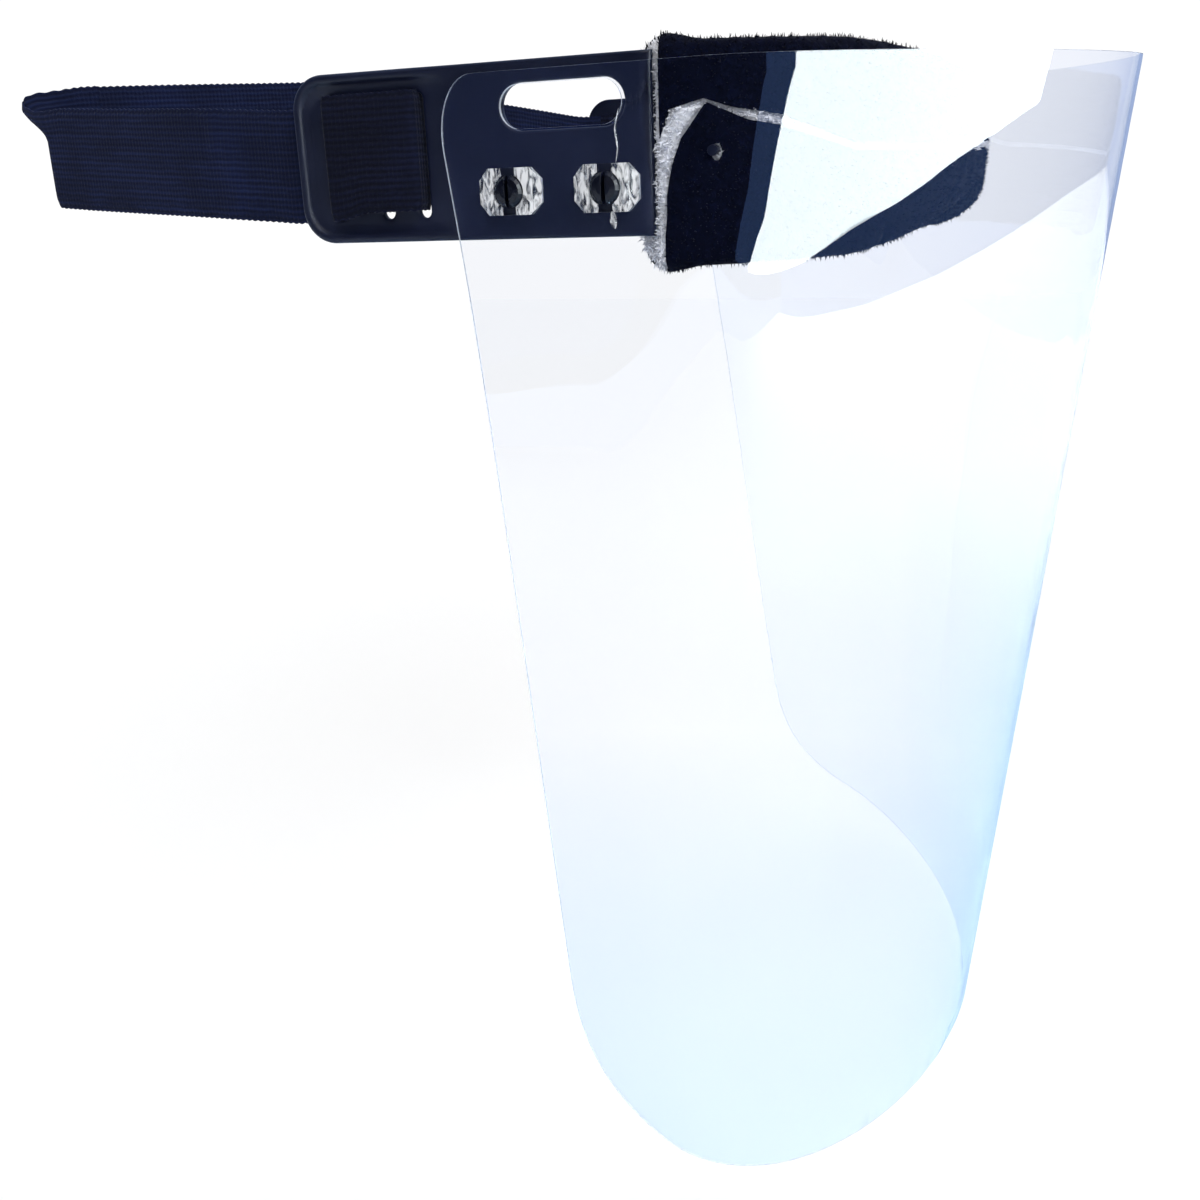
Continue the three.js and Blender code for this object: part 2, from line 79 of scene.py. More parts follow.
# Side plates. A slot is (middle y, middle z, length, height).
RIM_RISE = 0.8
RIM_WIDTH = 2.0
RIM_FRONT_Y = 89
PLATE_CORNER = 7
PLATE_OUTER_X = -PLATE_LOW[0] - RIM_RISE
PLATE_INNER_X = -PLATE_HIGH[0]
VENT = (56.8, 10, 25.4, 8.6)
STRAP_SLOT_YS = (107.7, 96, 87.7)
STRAP_SLOT = (2.7, 23.5)
STUD_YS = (67.8, 47.9)
STUD_Z = -5.2
STUD_HOLE_R = 2.3
PLATE_FRONT_Y = PLATE_LOW[1]
PLATE_REAR_Y = PLATE_HIGH[1]
PLATE_MID_Z = (PLATE_LOW[2] + PLATE_HIGH[2]) / 2
PLATE_TOP_Z = PLATE_HIGH[2]
PLATE_SLOTS = [*((y, PLATE_MID_Z, *STRAP_SLOT) for y in STRAP_SLOT_YS), VENT]
PLATE_EDGE_ROUND = 0.7
PLATE_BACK_ROUND = 0.5
SLOT_EDGE_ROUND = 0.5
SLOT_BACK_ROUND = 0.4
GROOVE_INSET = 4.6
GROOVE_HALF_WIDTH = 0.8
GROOVE_DEPTH = 0.35
GROOVE_START_YS = (84, 90)
GROOVE_START_ZS = (9, 14)
DISH_DEPTH = 0.25
DISH_START_YS = (80, 86)
FRONT_STEP_LENGTH = 2.4
FRONT_STEP_DEPTH = 0.5
ARC_MARK_CENTRE = (PLATE_FRONT_Y + 4.2, PLATE_TOP_Z - 5.6)
ARC_MARK_R = 3.2
ARC_MARK_HALF_WIDTH = 0.35
ARC_MARK_DEPTH = 0.3

# Band inside the brow pad, and the pad round it.
# A plan is (half width, rear y, y where the bend starts, front y, roundness in front and at the sides).
# Inner and outer reaches are (in the middle, at the ends), and heights are (at the temples, in the middle).
BAND_THICKNESS = 1.6
BAND_PLAN = (PLATE_INNER_X - GAP - BAND_THICKNESS / 2, BAND_HIGH[1], 36, -6.8, 0.5, 0.45)
PAD_INNER = (6.8, 5.2)
PAD_OUTER = (5.2, 2.5)
PAD_CORNER = 3.6
PAD_TOP = (PAD_HIGH[2], 14.5)
PAD_BOTTOM = (PAD_LOW[2], -9)
BAND_TOP = (BAND_HIGH[2], 10.5)
BAND_BOTTOM = (BAND_LOW[2], -5.2)
NARROWING_START = 58
NARROWING_POWER = 1.35
COVER_THICKNESS = 1.2
PILE_DEPTH = COVER_THICKNESS + 0.12
TUNNEL_SIDE_GAP = 0.25
TUNNEL_END_GAP = 0.4
EDGE_FLAT = 3.0
# Lower edge of the upper flap and outline of the lower flap, as (distance from the pad's end, height).
UPPER_FLAP_EDGE = [(0.8, 2.8), (2.5, 8.0), (8.3, 9.6), (12.7, 8.0), (21.7, 6.4), (39, 1.0), (83.5, -0.4)]
LOWER_FLAP_REAR = [(1.4, -19), (1.7, -14), (2.4, -4.6), (3.2, -1.1), (4.5, 2.8), (8.6, 8.9)]
LOWER_FLAP_EDGE = [(8.6, 8.9), (15.4, 5.7), (20.8, 4.7), (39, -0.4), (83.5, -1.2)]
# Hole in the lower flap as (distance from the pad's end, height, half width, half height).
PAD_HOLE = (10.4, 0.3, 0.95, 1.5)
# Crease in the lower flap as (distance from the pad's end, height).
PAD_CREASE = (48.5, -15)
PAD_END_ROUND = 5
# Fibre: tufts of the nap, tufts of the pile for each of its points, and (length, width) of a tuft.
NAP_TUFTS = 17000
NAP_TUFT = (0.9, 0.2)
PILE_TUFTS_PER_POINT = 6
PILE_TUFT = (1.1, 0.22)
# Cloth bag that swells the pad.
SWELL_VOXEL = 4.0
SWELL_PRESSURE = 4
SWELL_STEPS = 20
SWELL_MASS = 0.1
SWELL_STIFFNESS = 20
SWELL_CAP = 2.0
# Furthest in and out that the swelling moves the cover and the pile.
PUFF_RANGE = (-1.2, 1.4)

# Visor sheet. It bows out below VISOR_FLAT_DEPTH; its plans are as the band's.
VISOR_THICKNESS = 0.8
VISOR_TOP_PLAN = (PLATE_OUTER_X + GAP + VISOR_THICKNESS / 2, VISOR_HIGH[1], 28, -42.4, 0.26, 0.3)
VISOR_BOTTOM_PLAN = (95, 53, 35, -16.5, 0.5, 0.4)
VISOR_TOP_Z = VISOR_HIGH[2]
VISOR_HEIGHT = VISOR_HIGH[2] - VISOR_LOW[2]
VISOR_SIDE_HEIGHT = 185
VISOR_BOTTOM_FALL = VISOR_HEIGHT - VISOR_SIDE_HEIGHT
VISOR_BOTTOM_SWEEP = 4
VISOR_BOTTOM_CORNER = 2.8
VISOR_FLAT_DEPTH = 32
VISOR_FLARE_EASE = 40
VISOR_TOP_CORNER = 9
VISOR_TOP_CORNER_FALL = 1.6 * VISOR_TOP_CORNER
VISOR_VENT_SHRINK = 0.6
VISOR_VENT = (*VENT[:2], VENT[2] - VISOR_VENT_SHRINK, VENT[3] - VISOR_VENT_SHRINK)

# Flaps that are cut in the visor round each stud and pushed out by it.
WING_REACH = 6.6
WING_HALF_HEIGHT = 4.35
WING_CORNER = 2.2
WING_TOP = WING_REACH - WING_CORNER
WING_SIDE = WING_HALF_HEIGHT - WING_CORNER
WING_BORE_R = 3.2
WING_GAP = 3.0
WING_RISE = 1.2
WING_THICKNESS = 0.5
# Creases in the sheet at the front stud, as (y, z) path and half width.
STRESS_MARKS = [
    ([(45.0, 8.6), (45.9, 5.2), (45.4, 1.8), (45.9, -0.9)], 0.16),
    ([(46.9, -9.4), (46.8, -11.0), (46.5, -12.6)], 0.7),
]
STRESS_RISE = 0.35

# Strap. Its rear bend is at (x, y); lifts, rises and sags are from the height of the buckles.
STRAP_WIDTH = 22.4
STRAP_THICKNESS = 1.2
STRAP_MID_Z = 2.5
STRAP_BEND = (-62, 194)
BEND_RADIUS = 2.2
BEND_LIFT = 3.4
LEFT_RUN_LIFT = 8
LEFT_RUN_RISE = 6
BUCKLE_LIFT = 0.45
RIGHT_RUN_SAG = 1.5
BEND_REACH = 9
RIB_PITCH = 1.0
EDGE_SCALLOP = 0.12
EDGE_WANDER = 0.25
NOSE_LENGTH = 9.0
NOSE_DROP = 1.5
RUN_BENDS = {"right": 14, "left": 160}
# Fold across the right run: its share along the run at the lower and upper edge, and how far it rises.
FOLD_AT = (0.25, 0.37)
FOLD_STEP = 1.2
REAR_DROOP = 1.4
# How far the webbing goes on behind the rear slot, in front of the front slot, and where its tail is cut.
REAR_JOIN = 3.4
FRONT_JOIN = 2.2
TAIL_CUT = 2.6
# Middle of each layer of webbing at the right buckle.
INSIDE_X = -(PLATE_INNER_X - GAP - STRAP_THICKNESS / 2)
OUTSIDE_X = -(PLATE_OUTER_X + GAP + STRAP_THICKNESS / 2)
UPPER_LAYER_X = OUTSIDE_X - GAP - STRAP_THICKNESS

# Rounding of the edges of the pieces that keep their CAD shape.
BAND_EDGE_ROUND = 0.25
STUD_EDGE_ROUND = 0.18

# Camera: place, then degrees towards +Y from +X, down and rolled, and its lens.
CAMERA_PLACE = (-317.4, -46.4, -2.0)
CAMERA_TURN = 22.72
CAMERA_DOWN = 18.28
CAMERA_ROLL = -2.5
CAMERA_LENS = 39.0

# Floor: half its side, its colour seen directly and its painted tint, and the distances in metres over
# which it fades from that tint round the shield where mirrored (a painted reflection), and from a share of
# it where seen through the visor (a painted visor shadow).
FLOOR_SIZE = 1900
FLOOR_LEVEL = VISOR_LOW[2] - 0.4
FLOOR_COLOUR = (0.95, 0.95, 0.95)
FLOOR_REFLECTION_AND_SHADOW_TINT = (0.52, 0.66, 0.8)
PAINTED_REFLECTION_FADE = (0.3, 0.62)
# Centre, fade in metres and share of the painted shadow of the visor, which itself casts no shadow.
VISOR_SHADOW_CENTRE = (-110, 40)
VISOR_SHADOW_FADE = (0.03, 0.27)
VISOR_SHADOW_SHARE = 0.7

# Sun-like key light, and the even light all round as it is seen, as it lights and as it is mirrored.
KEY_FROM = (-0.9, -0.8, 1.5)
KEY_STRENGTH = 1.9
KEY_BREADTH = 50
WORLD_SEEN = (1.05, 1.05, 1.05)
WORLD_LIGHT = (0.62, 0.62, 0.62)
WORLD_MIRRORED = (0.38, 0.48, 0.72)

# Cards round the shield that only show mirrored in it: distance, radiance and (azimuth, elevation) outline.
CARDS = {
    "softbox": (
        3000,
        (10, 11, 11.2),
        [(-39, 38), (14, 38), (14, -1.1), (-33, -2.5), (-69, -2.6), (-54, 0), (-39, 6)],
    ),
    "softbox_edge": (
        3000,
        (0.13, 0.25, 0.6),
        [(-50, 30), (-39, 30), (-39, 6), (-54, 0), (-69, -2.6), (-84, -2.6), (-66, 1), (-52, 6)],
    ),
    "blue_card": (3000, (0.04, 0.06, 0.16), [(-140, 14), (-110, 14), (-110, -3), (-140, -3)]),
    "low_card": (3300, (0.12, 0.24, 0.6), [(-44, 5), (50, 5), (50, -10), (-44, -10)]),
    "dark_card": (3400, (0.006, 0.01, 0.03), [(-158, 50), (-40, 50), (-40, -3.8), (-158, -3.8)]),
}


# ---------------------------------------------------------------- shapes and meshes


class PlanCurve:
    """U-shaped plan of the band or the visor; s is the distance along it, 0 at the middle of the front."""

    def __init__(self, half_width, rear_y, straight_y, front_y, front_round, side_round):
        depth = straight_y - front_y
        corners = np.array(
            [
                (0, front_y),
                (half_width * front_round, front_y),
                (half_width, straight_y - depth * side_round),
                (half_width, straight_y),
            ]
        )
        t = np.linspace(0, 1, 2001)[:, None]
        weights = ((1 - t) ** 3, 3 * (1 - t) ** 2 * t, 3 * (1 - t) * t**2, t**3)
        self.bend = sum(w * c for w, c in zip(weights, corners))
        steps = np.hypot(*np.diff(self.bend, axis=0).T)
        self.at = np.concatenate([[0], np.cumsum(steps)])
        self.bend_length = self.at[-1]
        self.length = self.bend_length + rear_y - straight_y

    def point(self, s):
        s = np.asarray(s, float)
        t = np.abs(s)
        x = np.interp(t, self.at, self.bend[:, 0])
        y = np.interp(t, self.at, self.bend[:, 1])
        beyond = np.maximum(t - self.bend_length, 0)
        return np.sign(s) * x, y + beyond

    def outward(self, s):
        """Unit vector away from the head."""
        ahead = np.array(self.point(np.asarray(s) + 0.4)) - np.array(self.point(np.asarray(s) - 0.4))
        ahead = ahead / np.hypot(*ahead)
        return ahead[1], -ahead[0]


def smooth_step(x, low, high):
    t = np.clip((np.asarray(x, float) - low) / (high - low), 0, 1)
    return t * t * (3 - 2 * t)


def mix(a, b, t):
    return a + (b - a) * t


def ripple(a, b, scale, seed):
    """Smooth pseudo-random height from -1 to 1 over a plane, the same each time."""
    phases = np.random.default_rng(seed).uniform(0, 2 * math.pi, (6, 3))
    total = 0
    for angle, p, q in phases:
        total = total + np.sin((a * math.cos(angle) + b * math.sin(angle)) / scale + p)
        total = total + 0.5 * np.sin((a * math.sin(angle) - b * math.cos(angle)) * 2.1 / scale + q)
    return total / 6


def mesh_object(name, points, faces, smooth_angle=40, uv=None):
    """A new object from points in millimetres. uv gives one pair a point."""
    mesh = bpy.data.meshes.new(name)
    mesh.from_pydata((np.asarray(points, float) * MM).tolist(), [], [list(map(int, f)) for f in faces])
    if uv is not None:
        layer = mesh.uv_layers.new(name="UVMap")
        loops = np.zeros(len(mesh.loops), np.int32)
        mesh.loops.foreach_get("vertex_index", loops)
        layer.data.foreach_set("uv", np.asarray(uv, np.float32)[loops].ravel())
    mesh.update()
    shape = bmesh.new()
    shape.from_mesh(mesh)
    bmesh.ops.recalc_face_normals(shape, faces=shape.faces)
    shape.to_mesh(mesh)
    shape.free()
    mesh.shade_smooth()
    mesh.set_sharp_from_angle(angle=math.radians(smooth_angle))
    piece = bpy.data.objects.new(name, mesh)
    bpy.context.scene.collection.objects.link(piece)
    return piece


def triangulate(loops, fill, keep):
    """Triangles over a flat region whose edges follow the closed loops. keep(a, b) says what stays."""
    points, edges = [], []
    for loop in loops:
        start = len(points)
        points.extend(loop)
        edges.extend((start + i, start + (i + 1) % len(loop)) for i in range(len(loop)))
    points.extend(fill)
    made = delaunay_2d_cdt([Vector(p) for p in points], edges, [], 0, 1e-5)
    flat = np.array([tuple(p) for p in made[0]])
    triangles = np.array(made[2])
    centre = flat[triangles].mean(axis=1)
    triangles = triangles[keep(centre[:, 0], centre[:, 1])]
    used = np.unique(triangles)
    renumber = np.zeros(len(flat), int)
    renumber[used] = np.arange(len(used))
    return flat[used], renumber[triangles]


def thick_sheet(triangles, outer, inner):
    """Points and faces of a closed sheet between two surfaces that share their triangles."""
    count = len(outer)
    edges = np.concatenate([triangles[:, [0, 1]], triangles[:, [1, 2]], triangles[:, [2, 0]]])
    known = set(map(tuple, edges))
    rim = [(a, b) for a, b in known if (b, a) not in known]
    faces = [tuple(t) for t in triangles]
    faces += [(c + count, b + count, a + count) for a, b, c in triangles]
    faces += [(b, a, a + count, b + count) for a, b in rim]
    return np.concatenate([outer, inner]), faces


def ring_faces(rings, size):
    """Quads between closed rings of points that follow one another."""
    faces = []
    for r in range(rings - 1):
        for i in range(size):
            a, b = r * size + i, r * size + (i + 1) % size
            faces.append((a, b, b + size, a + size))
    return faces


def joined(parts):
    """Points and faces of several closed shapes as one."""
    points, faces, start = [], [], 0
    for p, f in parts:
        points.append(np.asarray(p, float))
        faces.extend(tuple(i + start for i in face) for face in f)
        start += len(p)
    return np.concatenate(points), faces


def mirrored(points, faces):
    return np.asarray(points) * (-1, 1, 1), [tuple(reversed(f)) for f in faces]


def spikes(roots, directions, length, width):
    """Closed little four-sided tufts of fibre with their roots just under a surface."""
    count = len(roots)
    lengths = length * RNG.uniform(0.5, 1.15, count)[:, None]
    lean = RNG.normal(0, 0.45, (count, 3))
    tip_way = directions + lean
    tip_way /= np.linalg.norm(tip_way, axis=1)[:, None]
    side = np.cross(directions, RNG.normal(0, 1, (count, 3)))
    side /= np.linalg.norm(side, axis=1)[:, None]
    other = np.cross(directions, side)
    base = roots - directions * 0.25
    corners = []
    for turn in range(3):
        angle = 2 * math.pi * turn / 3
        corners.append(base + (side * math.cos(angle) + other * math.sin(angle)) * width)
    points = np.stack([*corners, roots + tip_way * lengths], axis=1).reshape(-1, 3)
    faces = []
    for i in range(0, 4 * count, 4):
        faces += [(i, i + 1, i + 3), (i + 1, i + 2, i + 3), (i + 2, i, i + 3), (i + 2, i + 1, i)]
    return points, faces


def slot_distance(y, z, slot):
    """Distance outside a slot with round ends, negative inside."""
    mid_y, mid_z, length, height = slot
    radius = min(length, height) / 2
    away_y = np.maximum(np.abs(y - mid_y) - (length / 2 - radius), 0)
    away_z = np.maximum(np.abs(z - mid_z) - (height / 2 - radius), 0)
    return np.hypot(away_y, away_z) - radius


def slot_loop(slot, grow, steps=10):
    """Outline of a slot with round ends, grown by the given amount."""
    mid_y, mid_z, length, height = slot
    radius = min(length, height) / 2
    loop = []
    for quarter, (sign_y, sign_z) in enumerate([(1, 1), (-1, 1), (-1, -1), (1, -1)]):
        centre_y = mid_y + sign_y * (length / 2 - radius)
        centre_z = mid_z + sign_z * (height / 2 - radius)
        for i in range(steps + 1):
            angle = (quarter + i / steps) * math.pi / 2
            loop.append(
                (
                    centre_y + (radius + grow) * math.cos(angle),
                    centre_z + (radius + grow) * math.sin(angle),
                )
            )
    return spaced(loop)


def oval_loop(mid_a, mid_b, half_a, half_b, steps):
    angles = np.linspace(0, 2 * math.pi, steps, endpoint=False)
    return [(mid_a + half_a * math.cos(t), mid_b + half_b * math.sin(t)) for t in angles]


def spaced(loop):
    """The loop without points that fall on the one before."""
    kept = [loop[0]]
    for p in loop[1:]:
        if math.dist(p, kept[-1]) > 1e-3:
            kept.append(p)
    if math.dist(kept[0], kept[-1]) < 1e-3:
        kept.pop()
    return kept


def grid(low_a, high_a, step_a, low_b, high_b, step_b):
    """Staggered fill points over a rectangle."""
    points = []
    for j, b in enumerate(np.arange(low_b, high_b, step_b)):
        points += [(a, b) for a in np.arange(low_a + (j % 2) * step_a / 2, high_a, step_a)]
    return points


# ---------------------------------------------------------------- materials


def new_material(name, base, roughness, **sockets):
    """A material with one Principled shader; returns it with its tree and shader."""
    material = bpy.data.materials.new(name)
    material.use_nodes = True
    tree = material.node_tree
    shader = tree.nodes["Principled BSDF"]
    shader.inputs["Base Color"].default_value = (*base, 1)
    shader.inputs["Roughness"].default_value = roughness
    for socket, value in sockets.items():
        shader.inputs[socket.replace("_", " ")].default_value = value
    return material, tree, shader


def coordinates(tree, source="Object"):
    return tree.nodes.new("ShaderNodeTexCoord").outputs[source]


def noise(tree, place, scale, detail=3, distortion=0.0):
    node = tree.nodes.new("ShaderNodeTexNoise")
    node.inputs["Scale"].default_value = scale
    node.inputs["Detail"].default_value = detail
    node.inputs["Distortion"].default_value = distortion
    tree.links.new(place, node.inputs["Vector"])
    return node.outputs["Fac"]


def stretched(tree, place, scale):
    node = tree.nodes.new("ShaderNodeMapping")
    node.inputs["Scale"].default_value = scale
    tree.links.new(place, node.inputs["Vector"])
    return node.outputs["Vector"]


def ramp(tree, value, stops):
    """Colour ramp; stops are (position, colour)."""
    node = tree.nodes.new("ShaderNodeValToRGB")
    elements = node.color_ramp.elements
    while len(elements) < len(stops):
        elements.new(0.5)
    for element, (position, colour) in zip(elements, stops):
        element.position = position
        element.color = (*colour, 1)
    tree.links.new(value, node.inputs["Fac"])
    return node.outputs["Color"]


def remapped(tree, value, from_low, from_high, low, high):
    node = tree.nodes.new("ShaderNodeMapRange")
    for socket, number in zip(node.inputs[1:5], (from_low, from_high, low, high)):
        socket.default_value = number
    tree.links.new(value, node.inputs["Value"])
    return node.outputs["Result"]


def spread(tree, value, low, high):
    """Noise from about 0.3 to 0.7 spread over low to high."""
    return remapped(tree, value, 0.3, 0.7, low, high)


def arithmetic(tree, operation, a, b):
    node = tree.nodes.new("ShaderNodeMath")
    node.operation = operation
    for socket, value in zip(node.inputs, (a, b)):
        if isinstance(value, (int, float)):
            socket.default_value = value
        else:
            tree.links.new(value, socket)
    return node.outputs["Value"]


def bump(tree, shader, height, distance, strength=1.0):
    node = tree.nodes.new("ShaderNodeBump")
    node.inputs["Strength"].default_value = strength
    node.inputs["Distance"].default_value = distance
    tree.links.new(height, node.inputs["Height"])
    tree.links.new(node.outputs["Normal"], shader.inputs["Normal"])


def satin_plastic(name, base, low_rough, high_rough):
    """Moulded black plastic with a fine spark-eroded grain and faint handling marks."""
    material, tree, shader = new_material(name, base, low_rough, Specular_IOR_Level=0.3)
    place = coordinates(tree)
    patches = noise(tree, place, 60, 4, 0.4)
    tree.links.new(spread(tree, patches, low_rough, high_rough), shader.inputs["Roughness"])
    lighter = tuple(1.7 * c for c in base)
    tree.links.new(ramp(tree, patches, [(0.35, base), (0.75, lighter)]), shader.inputs["Base Color"])
    grain = noise(tree, place, 2600, 2)
    marks = noise(tree, stretched(tree, place, (1, 1, 9)), 240, 3)
    height = arithmetic(tree, "ADD", grain, arithmetic(tree, "MULTIPLY", marks, 0.5))
    bump(tree, shader, height, 0.00003, 0.5)
    return material


def fleece_black():
    """Brushed fleece: near-black fibre with a soft nap."""
    base = (0.0012, 0.0022, 0.010)
    material, tree, shader = new_material(
        "fleece_black", base, 1.0, Specular_IOR_Level=0.05, Sheen_Weight=0.03, Sheen_Roughness=0.5
    )
    place = coordinates(tree)
    nap = noise(tree, place, 900, 5, 0.8)
    colours = [(0.3, tuple(0.5 * c for c in base)), (0.6, base), (0.85, (0.005, 0.008, 0.028))]
    tree.links.new(ramp(tree, nap, colours), shader.inputs["Base Color"])
    bump(tree, shader, nap, 0.0005, 0.8)
    return material


def pile_white():
    """Off-white looped pile, with painted shade: greyer between the tufts, where the same noise sets its
    bump low.
    """
    material, tree, shader = new_material(
        "pile_white", (0.9, 0.9, 0.92), 1.0, Specular_IOR_Level=0.1, Sheen_Weight=0.6
    )
    place = coordinates(tree)
    pile = noise(tree, place, 1100, 5, 0.6)
    # The greyer stops are painted shade in the hollows of the bump.
    colours = [(0.3, (0.76, 0.78, 0.85)), (0.5, (0.94, 0.95, 0.99)), (0.7, (0.99, 0.99, 1.0))]
    tree.links.new(ramp(tree, pile, colours), shader.inputs["Base Color"])
    bump(tree, shader, pile, 0.0005, 0.7)
    return material


def webbing_black(name, base):
    """Ribbed elastic: fine lengthwise yarns over the cross ribs, with paler rubbed streaks."""
    material, tree, shader = new_material(
        name, base, 0.85, Specular_IOR_Level=0.1, Sheen_Weight=0.04, Sheen_Roughness=0.4
    )
    place = coordinates(tree, "UV")
    streaks = noise(tree, stretched(tree, place, (40, 900, 1)), 1, 3)
    patches = noise(tree, stretched(tree, place, (60, 60, 1)), 1, 3, 0.5)
    yarns = tree.nodes.new("ShaderNodeTexWave")
    yarns.bands_direction = "Y"
    yarns.inputs["Scale"].default_value = 270
    yarns.inputs["Distortion"].default_value = 1.2
    yarns.inputs["Detail"].default_value = 1
    tree.links.new(place, yarns.inputs["Vector"])
    tone = arithmetic(tree, "MULTIPLY", arithmetic(tree, "ADD", streaks, patches), 0.4)
    tone = arithmetic(tree, "ADD", tone, arithmetic(tree, "MULTIPLY", yarns.outputs["Fac"], 0.2))
    paler = tuple(1.8 * c for c in base)
    tree.links.new(
        ramp(tree, tone, [(0.38, tuple(0.7 * c for c in base)), (0.52, base), (0.68, paler)]),
        shader.inputs["Base Color"],
    )
    fuzz = noise(tree, stretched(tree, place, (2500, 2500, 1)), 1, 2)
    height = arithmetic(tree, "ADD", yarns.outputs["Fac"], fuzz)
    bump(tree, shader, height, 0.0002, 0.8)
    return material


def clear_sheet():
    """Clear polycarbonate with a trace of blue through its thickness, and faint rubbing."""
    material, tree, shader = new_material(
        "clear_sheet", (0.985, 0.992, 1.0), 0.0, IOR=1.57, Transmission_Weight=1.0
    )
    place = coordinates(tree)
    rubbed = noise(tree, stretched(tree, place, (30, 30, 8)), 1, 6, 1.5)
    tree.links.new(remapped(tree, rubbed, 0.62, 0.85, 0.0, 0.06), shader.inputs["Roughness"])
    waves = noise(tree, place, 14, 2, 0.3)
    bump(tree, shader, waves, 0.0006, 0.35)
    absorb = tree.nodes.new("ShaderNodeVolumeAbsorption")
    absorb.inputs["Color"].default_value = (0.62, 0.72, 1.0, 1)
    absorb.inputs["Density"].default_value = 80
    output = tree.nodes["Material Output"]
    tree.links.new(absorb.outputs["Volume"], output.inputs["Volume"])
    return material


def cut_edge():
    """Sawn edge of the clear sheet, which gathers light and looks frosted."""
    material, tree, shader = new_material("clear_sheet_edge", (0.86, 0.92, 1.0), 0.35, IOR=1.57)
    teeth = noise(tree, stretched(tree, coordinates(tree), (1, 1, 3)), 700, 3)
    tree.links.new(spread(tree, teeth, 0.35, 0.6), shader.inputs["Transmission Weight"])
    bump(tree, shader, teeth, 0.0001, 0.5)
    return material


def whitened_sheet_with_painted_glints():
    """Clear sheet where it is folded: whitened along the bends and crazed, the whitening also a painted
    highlight for the bright glints of the bent flaps and creases.
    """
    material, tree, shader = new_material("whitened_sheet_with_painted_glints", (0.95, 0.97, 1.0), 0.08, IOR=1.57)
    place = coordinates(tree)
    crazing_and_glints = noise(tree, stretched(tree, place, (1, 1, 0.35)), 900, 4, 1.2)
    # Whiter where the noise is low: partly crazing, partly painted glints.
    tree.links.new(remapped(tree, crazing_and_glints, 0.42, 0.58, 0.35, 1.0), shader.inputs["Transmission Weight"])
    bump(tree, shader, crazing_and_glints, 0.0002, 0.6)
    return material


PLASTIC = satin_plastic("satin_black_plastic", (0.0022, 0.0038, 0.014), 0.32, 0.5)
STUD_PLASTIC = satin_plastic("stud_black_plastic", (0.0015, 0.002, 0.006), 0.22, 0.4)
FLEECE = fleece_black()
PILE = pile_white()
WEBBING = webbing_black("elastic_webbing", (0.0038, 0.0068, 0.026))
# A darker copy of the same webbing: painted shade on the layers threaded through the buckles.
SHADED_WEBBING = webbing_black("elastic_webbing_painted_shade", (0.002, 0.003, 0.011))
CLEAR = clear_sheet()
EDGE = cut_edge()
WHITENED_GLINT_SHEET = whitened_sheet_with_painted_glints()


def dress(piece, material):
    piece.data.materials.clear()
    piece.data.materials.append(material)
    return piece


# ---------------------------------------------------------------- side plates


def plate_inset(y, z):
    """Distance from the plate's outline, positive inside."""
    past_y = y - (PLATE_REAR_Y - PLATE_CORNER)
    past_z = np.abs(z - PLATE_MID_Z) - (PLATE_TOP_Z - PLATE_MID_Z - PLATE_CORNER)
    rounded = PLATE_CORNER - np.hypot(np.maximum(past_y, 0), np.maximum(past_z, 0))
    straight = np.minimum(PLATE_CORNER - past_z, PLATE_REAR_Y - y)
    return np.minimum(np.where(past_y > 0, rounded, straight), y - PLATE_FRONT_Y)


def plate_loop(inset, steps=14):
    """Plate outline drawn in by the given amount."""
    half = PLATE_TOP_Z - PLATE_MID_Z - inset
    rear = PLATE_REAR_Y - inset
    radius = max(PLATE_CORNER - inset, 0.2)
    front = PLATE_FRONT_Y + inset
    loop = [(y, PLATE_MID_Z - half) for y in np.arange(front, rear - radius, 2.0)]
    for sign, start in ((-1, -math.pi / 2), (1, 0)):
        for i in range(steps + 1):
            angle = start + i / steps * math.pi / 2
            loop.append(
                (
                    rear - radius + radius * math.cos(angle),
                    PLATE_MID_Z + sign * (half - radius) + radius * math.sin(angle),
                )
            )
    loop += [(y, PLATE_MID_Z + half) for y in np.arange(rear - radius, front, -2.0)]
    loop += [(front, PLATE_MID_Z + t * half) for t in np.linspace(1, -1, 16)]
    return spaced(loop)


def rounded_edge(distance, radius):
    """How far a surface drops at a distance from its edge, for a rounded edge."""
    reach = np.clip(radius - distance, 0, radius)
    return radius - np.sqrt(radius**2 - reach**2)


